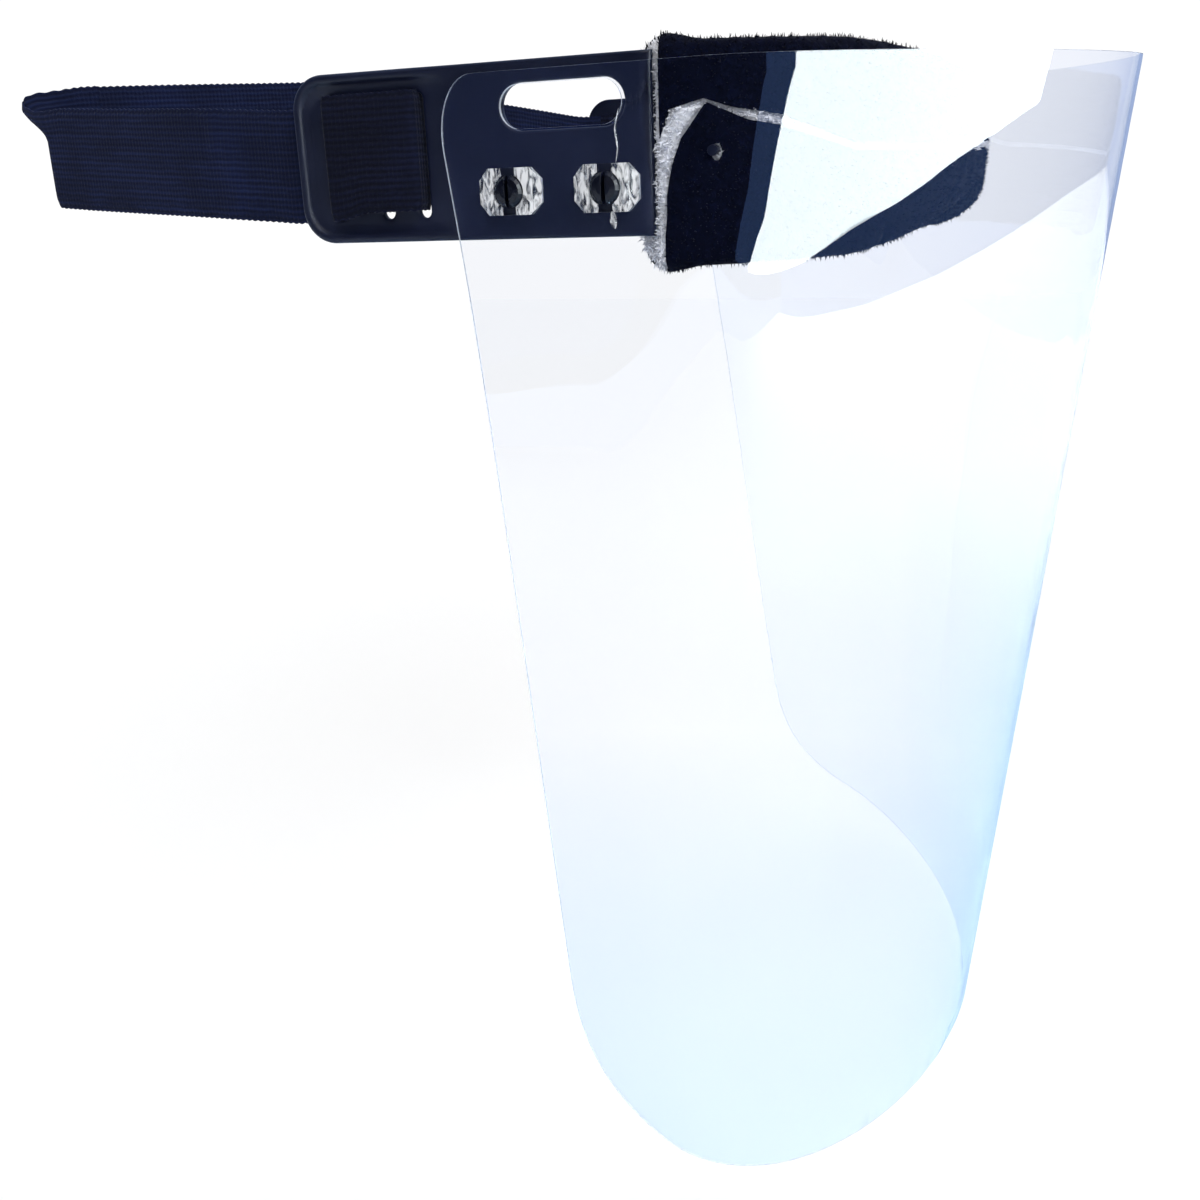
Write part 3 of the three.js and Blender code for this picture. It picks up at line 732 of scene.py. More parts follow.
def plate_face(y, z):
    """Outward height of the plate's outer face above its flat level."""
    inset = plate_inset(y, z)
    rim_share = smooth_step(y, RIM_FRONT_Y - 9, RIM_FRONT_Y + 3)
    across = np.clip((inset - RIM_WIDTH / 2) / (RIM_WIDTH / 2), -1, 1)
    bead = np.sqrt(1 - across**2)
    height = rim_share * RIM_RISE * bead
    height -= (1 - 0.6 * rim_share) * rounded_edge(inset, PLATE_EDGE_ROUND)
    groove = np.exp(-(((inset - GROOVE_INSET) / GROOVE_HALF_WIDTH) ** 2))
    height -= GROOVE_DEPTH * groove * smooth_step(y, *GROOVE_START_YS) * smooth_step(z, *GROOVE_START_ZS)
    dished = smooth_step(inset, RIM_WIDTH, RIM_WIDTH + 1.5) * smooth_step(y, *DISH_START_YS)
    height -= DISH_DEPTH * dished
    for slot in PLATE_SLOTS:
        height -= rounded_edge(slot_distance(y, z, slot), SLOT_EDGE_ROUND)
    height -= FRONT_STEP_DEPTH * (1 - smooth_step(y, PLATE_FRONT_Y, PLATE_FRONT_Y + FRONT_STEP_LENGTH))
    arc_y, arc_z = ARC_MARK_CENTRE
    arc = (np.hypot(y - arc_y, z - arc_z) - ARC_MARK_R) / ARC_MARK_HALF_WIDTH
    under = (z < arc_z) & (y < arc_y + 1)
    return height - np.where(under, ARC_MARK_DEPTH * np.exp(-(arc**2)), 0)


def plate_back(y, z):
    """Depth of rounding on the plate's inner face."""
    drop = rounded_edge(plate_inset(y, z), PLATE_BACK_ROUND)
    for slot in PLATE_SLOTS:
        drop = drop + rounded_edge(slot_distance(y, z, slot), SLOT_BACK_ROUND)
    return drop


def plate_shape():
    """Points and faces of the right plate."""
    loops = [plate_loop(inset) for inset in (0, 0.12, 0.3, 0.6, 1.0, 1.4, 1.8, 2.1, 2.7, 3.6)]
    for slot in PLATE_SLOTS:
        loops += [slot_loop(slot, grow) for grow in (0, 0.08, 0.22, 0.5)]
    loops += [oval_loop(y, STUD_Z, STUD_HOLE_R, STUD_HOLE_R, 28) for y in STUD_YS]
    fill = grid(PLATE_FRONT_Y + 0.4, PLATE_REAR_Y, 0.9, PLATE_LOW[2] + 0.3, PLATE_TOP_Z, 0.9)
    fill += grid(PLATE_FRONT_Y + 0.2, PLATE_FRONT_Y + 6, 0.3, PLATE_TOP_Z - 9.5, PLATE_TOP_Z - 5, 0.3)

    def keep(y, z):
        solid = plate_inset(y, z) > 0
        for slot in PLATE_SLOTS:
            solid &= slot_distance(y, z, slot) > 0
        for stud in STUD_YS:
            solid &= np.hypot(y - stud, z - STUD_Z) > STUD_HOLE_R
        return solid

    flat, triangles = triangulate(loops, fill, keep)
    y, z = flat.T
    outer = np.column_stack([-(PLATE_OUTER_X + plate_face(y, z)), y, z])
    inner = np.column_stack([-(PLATE_INNER_X + plate_back(y, z)), y, z])
    return thick_sheet(triangles, outer, inner)


def build_plates():
    shape = plate_shape()
    for side, (points, faces) in (("right", shape), ("left", mirrored(*shape))):
        plate = dress(mesh_object(side + "_plate_moulding", points, faces, 50), PLASTIC)
        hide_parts(side + "_side_plate")
        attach(plate, "shield")


# ---------------------------------------------------------------- visor

TOP_CURVE = PlanCurve(*VISOR_TOP_PLAN)
BOTTOM_CURVE = PlanCurve(*VISOR_BOTTOM_PLAN)


def visor_opening(depth):
    """How far the sheet has sprung open sideways, from 0 beside the plates to 1 at the bottom."""
    below = np.maximum(depth - VISOR_FLAT_DEPTH, 0)
    full = VISOR_HEIGHT - VISOR_FLAT_DEPTH
    return (below**2 / (below + VISOR_FLARE_EASE)) / (full**2 / (full + VISOR_FLARE_EASE))


def visor_point(s, depth, outward=0.0):
    """Point of the visor at a distance s along its top edge and a depth below it."""
    u = s / TOP_CURVE.length
    top_x, top_y = TOP_CURVE.point(s)
    low_x, low_y = BOTTOM_CURVE.point(u * BOTTOM_CURVE.length)
    down = depth / VISOR_HEIGHT
    top_normal = np.array(TOP_CURVE.outward(s))
    low_normal = np.array(BOTTOM_CURVE.outward(u * BOTTOM_CURVE.length))
    normal = mix(top_normal, low_normal, down)
    normal = normal / np.hypot(*normal)
    x = mix(top_x, low_x, visor_opening(depth)) + normal[0] * outward
    y = mix(top_y, low_y, down) + normal[1] * outward
    return np.column_stack([x, y, VISOR_TOP_Z - depth])


def visor_place(side, y, z):
    """Distance along the top edge and depth of the point of one side of the visor at (y, z)."""
    low, high = 0.0, TOP_CURVE.length
    depth = VISOR_TOP_Z - z
    for _ in range(40):
        middle = (low + high) / 2
        if visor_point(np.array([side * middle]), np.array([depth]))[0][1] < y:
            low = middle
        else:
            high = middle
    return side * low, depth


def visor_top(u):
    """Depth of the sheet's top edge, for u from -1 to 1 along it."""
    x = np.clip(1 - (1 - np.abs(u)) * TOP_CURVE.length / VISOR_TOP_CORNER, 0, 1)
    return VISOR_TOP_CORNER_FALL * (1 - np.sqrt(1 - x * x))


def visor_bottom(u):
    """Depth of the sheet's bottom edge."""
    share = 1 - np.abs(u) ** VISOR_BOTTOM_SWEEP
    return VISOR_SIDE_HEIGHT + VISOR_BOTTOM_FALL * np.maximum(share, 0) ** (1 / VISOR_BOTTOM_CORNER)


def visor_loop():
    """The sheet's cut outline as (s, depth)."""
    length = TOP_CURVE.length
    corner = 1 - VISOR_TOP_CORNER / length
    bends = 1 - (1 - corner) * (1 - np.sin(np.linspace(0, math.pi / 2, 14)))
    top = [-u for u in bends[::-1]] + list(np.linspace(-corner, corner, 110)[1:-1]) + list(bends)
    loop = [(u * length, float(visor_top(u))) for u in top]
    first = float(visor_top(1.0))
    loop += [(length, d) for d in np.linspace(first, VISOR_SIDE_HEIGHT, 48)[1:]]
    turn = (np.linspace(0, 1, 60) ** 1.6) * math.pi / 2
    half = [(math.sqrt(max(math.cos(a), 0)), math.sin(a) ** (2 / VISOR_BOTTOM_CORNER)) for a in turn]
    right = [(u * length, VISOR_SIDE_HEIGHT + VISOR_BOTTOM_FALL * f) for u, f in half[1:]]
    loop += right + [(-s, d) for s, d in right[::-1][1:]]
    loop += [(-length, d) for d in np.linspace(VISOR_SIDE_HEIGHT, first, 48)[:-1]]
    return spaced(loop)


def wing_outline():
    """Outline of the whole cut-out round a stud as (distance along y, height)."""
    upper = [(WING_REACH, WING_SIDE), (WING_TOP, WING_HALF_HEIGHT)]
    upper += [(-a, b) for a, b in upper[::-1]]
    lower = [(-a, -b) for a, b in upper]
    return [lower[-1], *upper, *lower[:-1]]


def in_cut_out(a, b):
    """True inside the cut-out round a stud, for offsets from the stud."""
    a, b = np.abs(a), np.abs(b)
    diagonal = a + b < WING_REACH + WING_HALF_HEIGHT - WING_CORNER
    return (a < WING_REACH) & (b < WING_HALF_HEIGHT) & diagonal


def subdivided(loop, step):
    """The loop with extra points, so that no edge is longer than a step."""
    points = []
    for (a, b), (c, d) in zip(loop, loop[1:] + loop[:1]):
        count = max(1, math.ceil(math.dist((a, b), (c, d)) / step))
        points += [(mix(a, c, i / count), mix(b, d, i / count)) for i in range(count)]
    return points


def visor_sheet():
    """Points and faces of the sheet with its vent slots and stud cut-outs."""
    loops = [visor_loop()]
    for side in (-1, 1):
        loops.append([visor_place(side, y, z) for y, z in slot_loop(VISOR_VENT, 0, 8)])
        for stud in STUD_YS:
            outline = [(stud + a, STUD_Z + b) for a, b in subdivided(wing_outline(), 1.2)]
            loops.append([visor_place(side, y, z) for y, z in outline])
    length = TOP_CURVE.length
    fill = grid(-length + 1.2, length - 1.2, 2.4, 1.5, VISOR_HEIGHT - 1, 4.0)

    def keep(s, depth):
        u = s / length
        solid = (depth > visor_top(u)) & (depth < visor_bottom(u)) & (np.abs(u) < 1)
        _, y, z = visor_point(s, depth).T
        solid &= slot_distance(y, z, VISOR_VENT) > 0
        for stud in STUD_YS:
            solid &= ~in_cut_out(y - stud, z - STUD_Z)
        return solid

    fill = [p for p in fill if keep(np.array([p[0]]), np.array([p[1]]))[0]]
    flat, triangles = triangulate(loops, fill, keep)
    s, depth = flat.T
    half = VISOR_THICKNESS / 2
    return thick_sheet(triangles, visor_point(s, depth, half), visor_point(s, depth, -half))


def wing_shape(stud, way):
    """One bent-out flap: way is 1 behind the stud and -1 in front of it. Right side of the shield."""
    inner = WING_GAP / 2
    meet = math.sqrt(WING_BORE_R**2 - inner**2)
    angles = np.linspace(math.atan2(meet, inner), -math.atan2(meet, inner), 12)
    bore = [(WING_BORE_R * math.cos(t), WING_BORE_R * math.sin(t)) for t in angles]
    outline = [(WING_REACH, -WING_SIDE), (WING_REACH, WING_SIDE), (WING_TOP, WING_HALF_HEIGHT)]
    outline += [(inner, WING_HALF_HEIGHT), *bore, (inner, -WING_HALF_HEIGHT), (WING_TOP, -WING_HALF_HEIGHT)]

    def keep(a, b):
        return in_cut_out(a, b) & (a > inner) & (np.hypot(a, b) > WING_BORE_R)

    fill = grid(inner + 0.3, WING_REACH, 0.4, -WING_HALF_HEIGHT + 0.3, WING_HALF_HEIGHT, 0.4)
    fill = [p for p in fill if np.hypot(*p) > WING_BORE_R + 0.2]
    flat, triangles = triangulate([subdivided(outline, 0.4)], fill, keep)
    a, b = flat.T
    lifted = WING_RISE * smooth_step(WING_REACH - a, -0.6, 3.4)
    lifted += 0.16 * ripple(a, b, 1.1, 11 + way + int(stud)) * smooth_step(WING_REACH - a, 0, 1.5)
    y = stud + way * a
    z = STUD_Z + b
    sheet = PLATE_OUTER_X + GAP + VISOR_THICKNESS
    outer = np.column_stack([-(sheet + lifted), y, z])
    inner_face = np.column_stack([-(sheet + lifted - WING_THICKNESS), y, z])
    return thick_sheet(triangles, outer, inner_face)


def stress_mark(path, half_width):
    """A raised crease on the right side of the sheet, through (y, z) points, fading out at both ends."""
    stops = np.array(path, float)
    at = np.linspace(0, len(stops) - 1, 24)
    y, z = (np.interp(at, range(len(stops)), stops[:, i]) for i in range(2))
    swell = np.maximum(np.sin(math.pi * at / at[-1]), 0.05) ** 0.6
    ahead = np.gradient(np.column_stack([y, z]), axis=0)
    ahead /= np.linalg.norm(ahead, axis=1)[:, None]
    face = -(PLATE_OUTER_X + GAP + VISOR_THICKNESS)
    sides = []
    for across, out in ((1, 0), (0, 1), (-1, 0), (0, -0.3)):
        wide, high = across * half_width * swell, out * STRESS_RISE * swell
        sides.append(np.column_stack([face - high, y - ahead[:, 1] * wide, z + ahead[:, 0] * wide]))
    points = np.stack(sides, axis=1).reshape(-1, 3)
    ends = [(0, 1, 2, 3), tuple(len(points) - i for i in (1, 2, 3, 4))]
    return points, ends + ring_faces(len(at), 4)


def build_visor():
    sheet = dress(mesh_object("visor_sheet", *visor_sheet(), 30), CLEAR)
    sheet.data.materials.append(EDGE)
    for face in sheet.data.polygons:
        face.material_index = 1 if face.loop_total == 4 else 0
    sheet.visible_shadow = False
    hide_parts("visor")
    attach(sheet, "shield")
    right = [wing_shape(stud, way) for stud in STUD_YS for way in (-1, 1)]
    right += [stress_mark(*mark) for mark in STRESS_MARKS]
    for side, shapes in (("right", right), ("left", [mirrored(*w) for w in right])):
        # The flaps and creases are in the whitened sheet, whose whitening is partly painted glints.
        flaps = dress(mesh_object(side + "_stud_flaps", *joined(shapes), 50), WHITENED_GLINT_SHEET)
        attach(flaps, "shield")


# ---------------------------------------------------------------- brow pad

BAND_CURVE = PlanCurve(*BAND_PLAN)
PAD_END = BAND_CURVE.length - (BAND_HIGH[1] - PAD_HIGH[1])
SLEEVE_END = BAND_CURVE.length - 0.6
FACE_HALF = PAD_TOP[0] - PAD_CORNER
ARC = PAD_CORNER * math.pi / 2
# Distances round the section where its parts begin: outer face, corner, top, corner, inner face, and on.
CORNERED_EDGE = [ARC, EDGE_FLAT, ARC]
SECTION_STOPS = np.cumsum([0, FACE_HALF, *CORNERED_EDGE, 2 * FACE_HALF, *CORNERED_EDGE, FACE_HALF])
SECTION_LENGTH = SECTION_STOPS[-1]
# The cover's flaps start where it has come this far round from the middle of the outer face.
COVER_WRAP = FACE_HALF + ARC * 0.8


def pad_reach(s):
    """How far the pad reaches from the band's middle, towards the head and outward."""
    share = np.minimum(np.abs(s) / PAD_END, 1)
    behind_plate = smooth_step(np.abs(s), PAD_END - 0.9, PAD_END + 0.5)
    inner = mix(PAD_INNER[0], PAD_INNER[1], share)
    outer = mix(PAD_OUTER[0], PAD_OUTER[1], share)
    return inner, mix(outer, 0.75, behind_plate)


def edge_at(heights, s):
    """Height of an edge of the band or pad, between its values at the temples and in the middle."""
    share = np.maximum(1 - np.abs(s) / NARROWING_START, 0) ** NARROWING_POWER
    return mix(heights[0], heights[1], share)


def pad_edges(s):
    """Heights of the pad's top and bottom edges, which round off at its ends."""
    drop = rounded_edge(SLEEVE_END - np.abs(s), PAD_END_ROUND)
    return edge_at(PAD_TOP, s) - drop, edge_at(PAD_BOTTOM, s) + drop


def corner_radius(inner, outer):
    """Roundness of the pad's long edges, less where the pad is thin."""
    return np.minimum(PAD_CORNER, (inner + outer) / 2 - 0.05)


def face_share(s, height):
    """Distance q round the section of a height on the outer face, less than 0 below its middle."""
    radius = corner_radius(*pad_reach(s))
    top, bottom = pad_edges(s)
    up = height / (top - radius)
    down = height / (radius - bottom)
    return FACE_HALF * np.where(np.asarray(height) > 0, up, down)


def section(s, q):
    """Outward distance and height at q round the pad, and the normal. q is 0 half way up the outer face."""
    inner, outer = pad_reach(s)
    radius = corner_radius(inner, outer)
    q = np.mod(q, SECTION_LENGTH)
    part = np.clip(np.searchsorted(SECTION_STOPS, q, side="right") - 1, 0, 8)
    share = (q - SECTION_STOPS[part]) / (SECTION_STOPS[part + 1] - SECTION_STOPS[part])
    turn = share * math.pi / 2
    top, bottom = pad_edges(s)
    high, low = top - radius, bottom + radius
    right, left = outer - radius, -inner + radius
    zero, one = np.zeros_like(share + s), np.ones_like(share + s)
    cos, sin = np.cos(turn) * one, np.sin(turn) * one
    options = [
        (outer * one, mix(zero, high, share), one, zero),
        (right + radius * cos, high + radius * sin, cos, sin),
        (mix(right, left, share), top * one, zero, one),
        (left - radius * sin, high + radius * cos, -sin, cos),
        (-inner * one, mix(high, low, share), -one, zero),
        (left - radius * cos, low - radius * sin, -cos, -sin),
        (mix(left, right, share), bottom * one, zero, -one),
        (right + radius * sin, low - radius * cos, sin, -cos),
        (outer * one, mix(low * one, zero, share), one, zero),
    ]
    return [np.choose(part, [o[i] for o in options]) for i in range(4)]


def beside_band(s, out, height):
    """Point at a distance outward from the band's middle and at a height."""
    x, y = BAND_CURVE.point(s)
    away_x, away_y = BAND_CURVE.outward(s)
    return np.column_stack([x + away_x * out, y + away_y * out, height])


def pad_surface(s, q, lift):
    """Point of the pad's surface raised by lift, and the surface's normal there."""
    out, height, normal_out, normal_up = section(s, q)
    points = beside_band(s, out + normal_out * lift, height + normal_up * lift)
    away_x, away_y = BAND_CURVE.outward(s)
    return points, np.column_stack([away_x * normal_out, away_y * normal_out, normal_up])


def ring_mesh(name, stations, count, lift):
    """A closed body swept along the band through whole sections, with flat ends."""
    q = np.linspace(0, SECTION_LENGTH, count, endpoint=False)
    rows = [pad_surface(np.full(count, s), q, lift)[0] for s in stations]
    points = np.concatenate(rows)
    faces = ring_faces(len(rows), count)
    faces.append(tuple(range(count)))
    faces.append(tuple((len(rows) - 1) * count + i for i in reversed(range(count))))
    return mesh_object(name, points, faces)


def blow_up(core):
    """Runs the mesh as a cloth bag under pressure and keeps the shape it takes."""
    cloth = core.modifiers.new("cloth", "CLOTH")
    cloth.settings.use_pressure = True
    cloth.settings.uniform_pressure_force = SWELL_PRESSURE
    cloth.settings.effector_weights.gravity = 0
    cloth.settings.mass = SWELL_MASS
    cloth.settings.tension_stiffness = SWELL_STIFFNESS
    cloth.settings.compression_stiffness = SWELL_STIFFNESS
    cloth.collision_settings.use_collision = False
    cloth.point_cache.frame_start = 1
    cloth.point_cache.frame_end = SWELL_STEPS
    for step in range(1, SWELL_STEPS + 1):
        bpy.context.scene.frame_set(step)
    apply_modifiers(core)


def swollen_core():
    """The stuffed pad's swollen surface, as a tree to look it up in."""
    core = ring_mesh("pad_core", np.linspace(-PAD_END, PAD_END, 90), 48, -0.9)
    remesh = core.modifiers.new("remesh", "REMESH")
    remesh.mode = "VOXEL"
    remesh.voxel_size = SWELL_VOXEL * MM
    apply_modifiers(core)
    rest = vertex_array(core)
    blow_up(core)
    moved = vertex_array(core) - rest
    far = np.linalg.norm(moved, axis=1)
    capped = moved * np.minimum(1, SWELL_CAP * MM / np.maximum(far, 1e-9))[:, None]
    core.data.vertices.foreach_set("co", (rest + capped).ravel())
    core.data.update()
    subdivide = core.modifiers.new("smooth", "SUBSURF")
    subdivide.levels = 2
    apply_modifiers(core)
    bpy.context.scene.frame_set(1)
    tree = BVHTree.FromObject(core, bpy.context.evaluated_depsgraph_get())
    bpy.data.objects.remove(core)
    return tree


def vertex_array(piece):
    places = np.zeros(len(piece.data.vertices) * 3)
    piece.data.vertices.foreach_get("co", places)
    return places.reshape(-1, 3)


def apply_modifiers(piece):
    """Makes the modified mesh the object's own."""
    graph = bpy.context.evaluated_depsgraph_get()
    graph.update()
    made = bpy.data.meshes.new_from_object(piece.evaluated_get(graph))
    piece.modifiers.clear()
    piece.data = made


def puff(points, normals, core):
    """How far the swollen core stands proud of each point of the plain pad, in millimetres."""
    if core is None:
        return np.zeros(len(points))
    proud = []
    for p, n in zip(points, normals):
        near = core.find_nearest(Vector(p * MM))[0]
        proud.append((np.array(near) / MM - p) @ n)
    return np.clip(np.array(proud), *PUFF_RANGE)


def from_end(s):
    return PAD_END - np.abs(s)


def upper_edge(s):
    """Lower edge of the upper flap as a distance round the section."""
    at, height = np.array(UPPER_FLAP_EDGE).T
    return face_share(s, np.interp(from_end(s), at, height))


def lower_edge(s):
    """Top of the lower flap, falling away towards the pad's end."""
    at, height = np.array(LOWER_FLAP_REAR + LOWER_FLAP_EDGE[1:]).T
    return face_share(s, np.interp(from_end(s), at, height))


def cover_loops():
    """Cut edges of the cover as (s, q)."""
    across = np.linspace(PAD_END - 12, -(PAD_END - 12), 170)
    below = SECTION_LENGTH - COVER_WRAP
    upper_rear = [(PAD_END - at, height) for at, height in UPPER_FLAP_EDGE[:3]]
    lower_rear = [(PAD_END - at, SECTION_LENGTH + height) for at, height in LOWER_FLAP_REAR]
    upper_ends = [(SLEEVE_END, COVER_WRAP), (upper_rear[0][0], COVER_WRAP), *upper_rear]
    lower_ends = [(SLEEVE_END, below), (lower_rear[0][0], below), *lower_rear]
    loop = upper_ends + [(s, float(upper_edge(s))) for s in across]
    loop += [(-s, q) for s, q in upper_ends[::-1]] + [(-s, q) for s, q in lower_ends]
    loop += [(-s, SECTION_LENGTH + float(lower_edge(s))) for s in across] + lower_ends[::-1]
    loops = [subdivided(loop, 0.9)]
    at, middle, *halves = PAD_HOLE
    for side in (-1, 1):
        loops.append(oval_loop(side * (PAD_END - at), SECTION_LENGTH + middle, *halves, 22))
    return loops


def nap_height(points):
    """Clumps and hollows of the fleece."""
    x, y, z = points.T
    return 0.22 * ripple(x + 0.7 * y, z, 0.9, 3) + 0.14 * ripple(x - y, z * 1.3, 0.45, 5)


def crease_depth(s, q):
    """Depth of the crease that crosses the lower flap."""
    height = np.where(q > SECTION_LENGTH / 2, q - SECTION_LENGTH, q)
    line = (from_end(s) - PAD_CREASE[0] - 0.12 * (height - PAD_CREASE[1])) / 0.7
    return 0.9 * np.exp(-(line**2)) * smooth_step(-height, -PAD_CREASE[1], -PAD_CREASE[1] + 1.5)


def build_cover(core):
    """Black fleece sleeve with its two flaps, standing nap included."""
    loops = cover_loops()
    fill = grid(-SLEEVE_END + 0.4, SLEEVE_END, 1.0, -2, SECTION_LENGTH + 9.5, 1.0)
    flat_fill = np.array(fill)
    fill = [tuple(p) for p in flat_fill[in_cover(flat_fill[:, 0], flat_fill[:, 1])]]
    flat, triangles = triangulate(loops, fill, in_cover)
    s, q = flat.T
    base, normals = pad_surface(s, q, 0.0)
    lift = puff(base, normals, core) * swell_share(s) - crease_depth(s, q)
    outer = base + normals * (lift + nap_height(base))[:, None]
    inner = base + normals * (lift - COVER_THICKNESS)[:, None]
    points, faces = thick_sheet(triangles, outer, inner)
    picks = RNG.choice(len(triangles), NAP_TUFTS, p=triangle_shares(outer, triangles))
    weights = RNG.dirichlet((1, 1, 1), len(picks))
    roots = (outer[triangles[picks]] * weights[:, :, None]).sum(axis=1)
    ways = (normals[triangles[picks]] * weights[:, :, None]).sum(axis=1)
    fleece = joined([(points, faces), spikes(roots, ways, *NAP_TUFT)])
    cover = dress(mesh_object("brow_pad_fleece", *fleece, 60), FLEECE)
    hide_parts("brow_pad_cover")
    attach(cover, "shield")


def swell_share(s):
    """The pad swells along its length but stays flat where it tucks behind the plates."""
    return smooth_step(from_end(s), 1, 9)


def in_cover(s, q):
    """Cover test for q that runs past the end of the section on the lower flap."""
    height = q - SECTION_LENGTH
    upper = (q > upper_edge(s)) & (from_end(s) > UPPER_FLAP_EDGE[0][0])
    lower = (height < lower_edge(s)) & (from_end(s) > LOWER_FLAP_REAR[0][0])
    kept = np.where(height > -COVER_WRAP, lower, np.where(q < COVER_WRAP, upper, True))
    at, middle, half_wide, half_tall = PAD_HOLE
    hole = np.hypot((from_end(s) - at) / half_wide, (height - middle) / half_tall) < 1
    return kept & ~hole & (np.abs(s) < SLEEVE_END)


def triangle_shares(points, triangles):
    a, b, c = (points[triangles[:, i]] for i in range(3))
    area = np.linalg.norm(np.cross(b - a, c - a), axis=1)
    return area / area.sum()


def tunnel_point(s, q):
    """Outward distance and height of the lining's inner surface, close round the band."""
    out, height, _, _ = section(s, q)
    thin = BAND_THICKNESS / 2 + TUNNEL_SIDE_GAP
    top, bottom = pad_edges(s)
    share = (height - bottom) / (top - bottom)
    low, high = edge_at(BAND_BOTTOM, s) - TUNNEL_END_GAP, edge_at(BAND_TOP, s) + TUNNEL_END_GAP
    return np.clip(out, -thin, thin), mix(low, high, share)


def bared(s, q):
    """How far the pile stands up between the cover's edges: 0 under the cover, near 1 in the open."""
    open_share = 0
    for angle in np.linspace(0, 2 * math.pi, 8, endpoint=False):
        near_s, near_q = s + 0.9 * math.cos(angle), q + 0.9 * math.sin(angle)
        covered = in_cover(near_s, near_q) | in_cover(near_s, near_q + SECTION_LENGTH)
        open_share = open_share + ~covered / 8
    past_end = smooth_step(np.abs(s), SLEEVE_END - 3.5, SLEEVE_END - 2)
    return 0.85 * smooth_step(open_share, 0.6, 1.0) * (1 - past_end)


def lining_surfaces(core, stations, q):
    """Outer and inner points of the pile, the outer normals, and the (s, q) of each."""
    rows = []
    for s in stations:
        row = np.full(len(q), s)
        base, normals = pad_surface(row, q, 0.0)
        lift = puff(base, normals, core) * swell_share(row) - PILE_DEPTH * (1 - bared(row, q))
        lift = lift + 0.3 * ripple(row, q, 0.8, 21)
        inner = beside_band(row, *tunnel_point(row, q))
        rows.append((base + normals * lift[:, None], inner, normals, np.column_stack([row, q])))
    return [np.concatenate(column) for column in zip(*rows)]


def build_lining(core):
    """White pile that fills the sleeve, with longer tufts where it shows."""
    count = 150
    q = np.linspace(0, SECTION_LENGTH, count, endpoint=False)
    stations = np.linspace(-SLEEVE_END + 0.4, SLEEVE_END - 0.4, 260)
    outer, inner, normals, coords = lining_surfaces(core, stations, q)
    total = len(outer)
    last = total - count
    faces = ring_faces(len(stations), count)
    faces += [tuple(total + i for i in reversed(face)) for face in faces]
    for i in range(count):
        b = (i + 1) % count
        faces.append((b, i, total + i, total + b))
        faces.append((last + i, last + b, total + last + b, total + last + i))
    s, q = coords.T
    shown = ~in_cover(s, q) & ~in_cover(s, q + SECTION_LENGTH)
    shown |= np.abs(s) > SLEEVE_END - 1.2
    places = np.flatnonzero(shown)
    picks = RNG.choice(places, PILE_TUFTS_PER_POINT * len(places))
    roots = outer[picks] + RNG.normal(0, 0.35, (len(picks), 3))
    tufts = spikes(roots, normals[picks], *PILE_TUFT)
    pile = joined([(np.concatenate([outer, inner]), faces), tufts])
    lining = dress(mesh_object("brow_pad_pile", *pile, 60), PILE)
    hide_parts("brow_pad_lining")
    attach(lining, "shield")


# ---------------------------------------------------------------- strap


def rounded_path(corners, radius, steps=8):
    """Path through corners, each one rounded."""
    points = [np.array(corners[0], float)]
    for i in range(1, len(corners) - 1):
        here = np.array(corners[i], float)
        back = np.array(corners[i - 1], float) - here
        on = np.array(corners[i + 1], float) - here
        cosine = back @ on / (np.linalg.norm(back) * np.linalg.norm(on))
        turn = math.pi - math.acos(max(-1.0, min(1.0, cosine)))
        reach = min(radius * math.tan(turn / 2), np.linalg.norm(back) / 2, np.linalg.norm(on) / 2)
        start = here + back / np.linalg.norm(back) * reach
        end = here + on / np.linalg.norm(on) * reach
        for t in np.linspace(0, 1, steps + 1):
            points.append((1 - t) ** 2 * start + 2 * t * (1 - t) * here + t * t * end)
    points.append(np.array(corners[-1], float))
    return np.array(points)


def resampled(path, step):
    """The path at even steps, with the distance along it."""
    lengths = np.concatenate([[0], np.cumsum(np.linalg.norm(np.diff(path, axis=0), axis=1))])
    count = max(2, round(lengths[-1] / step))
    at = np.linspace(0, lengths[-1], count + 1)
    return np.column_stack([np.interp(at, lengths, path[:, i]) for i in range(3)]), at


def webbing_rows(middle, at, heights, phase, shift):
    """Lengthwise rows of points from the webbing's lower edge to its upper one."""
    rows = []
    share_along = at / at[-1]
    for h in heights:
        row = middle.copy()
        scallop = EDGE_SCALLOP * np.cos(2 * math.pi * (at + phase) / (1.6 * RIB_PITCH)) * abs(h) ** 8
        wander = EDGE_WANDER * ripple(at, 0 * at + h, 17, 9) * abs(h)
        row[:, 2] += h * (STRAP_WIDTH / 2 + scallop) + wander
        if shift is not None:
            row += shift(share_along, (h + 1) / 2)
        rows.append(row)
    return rows


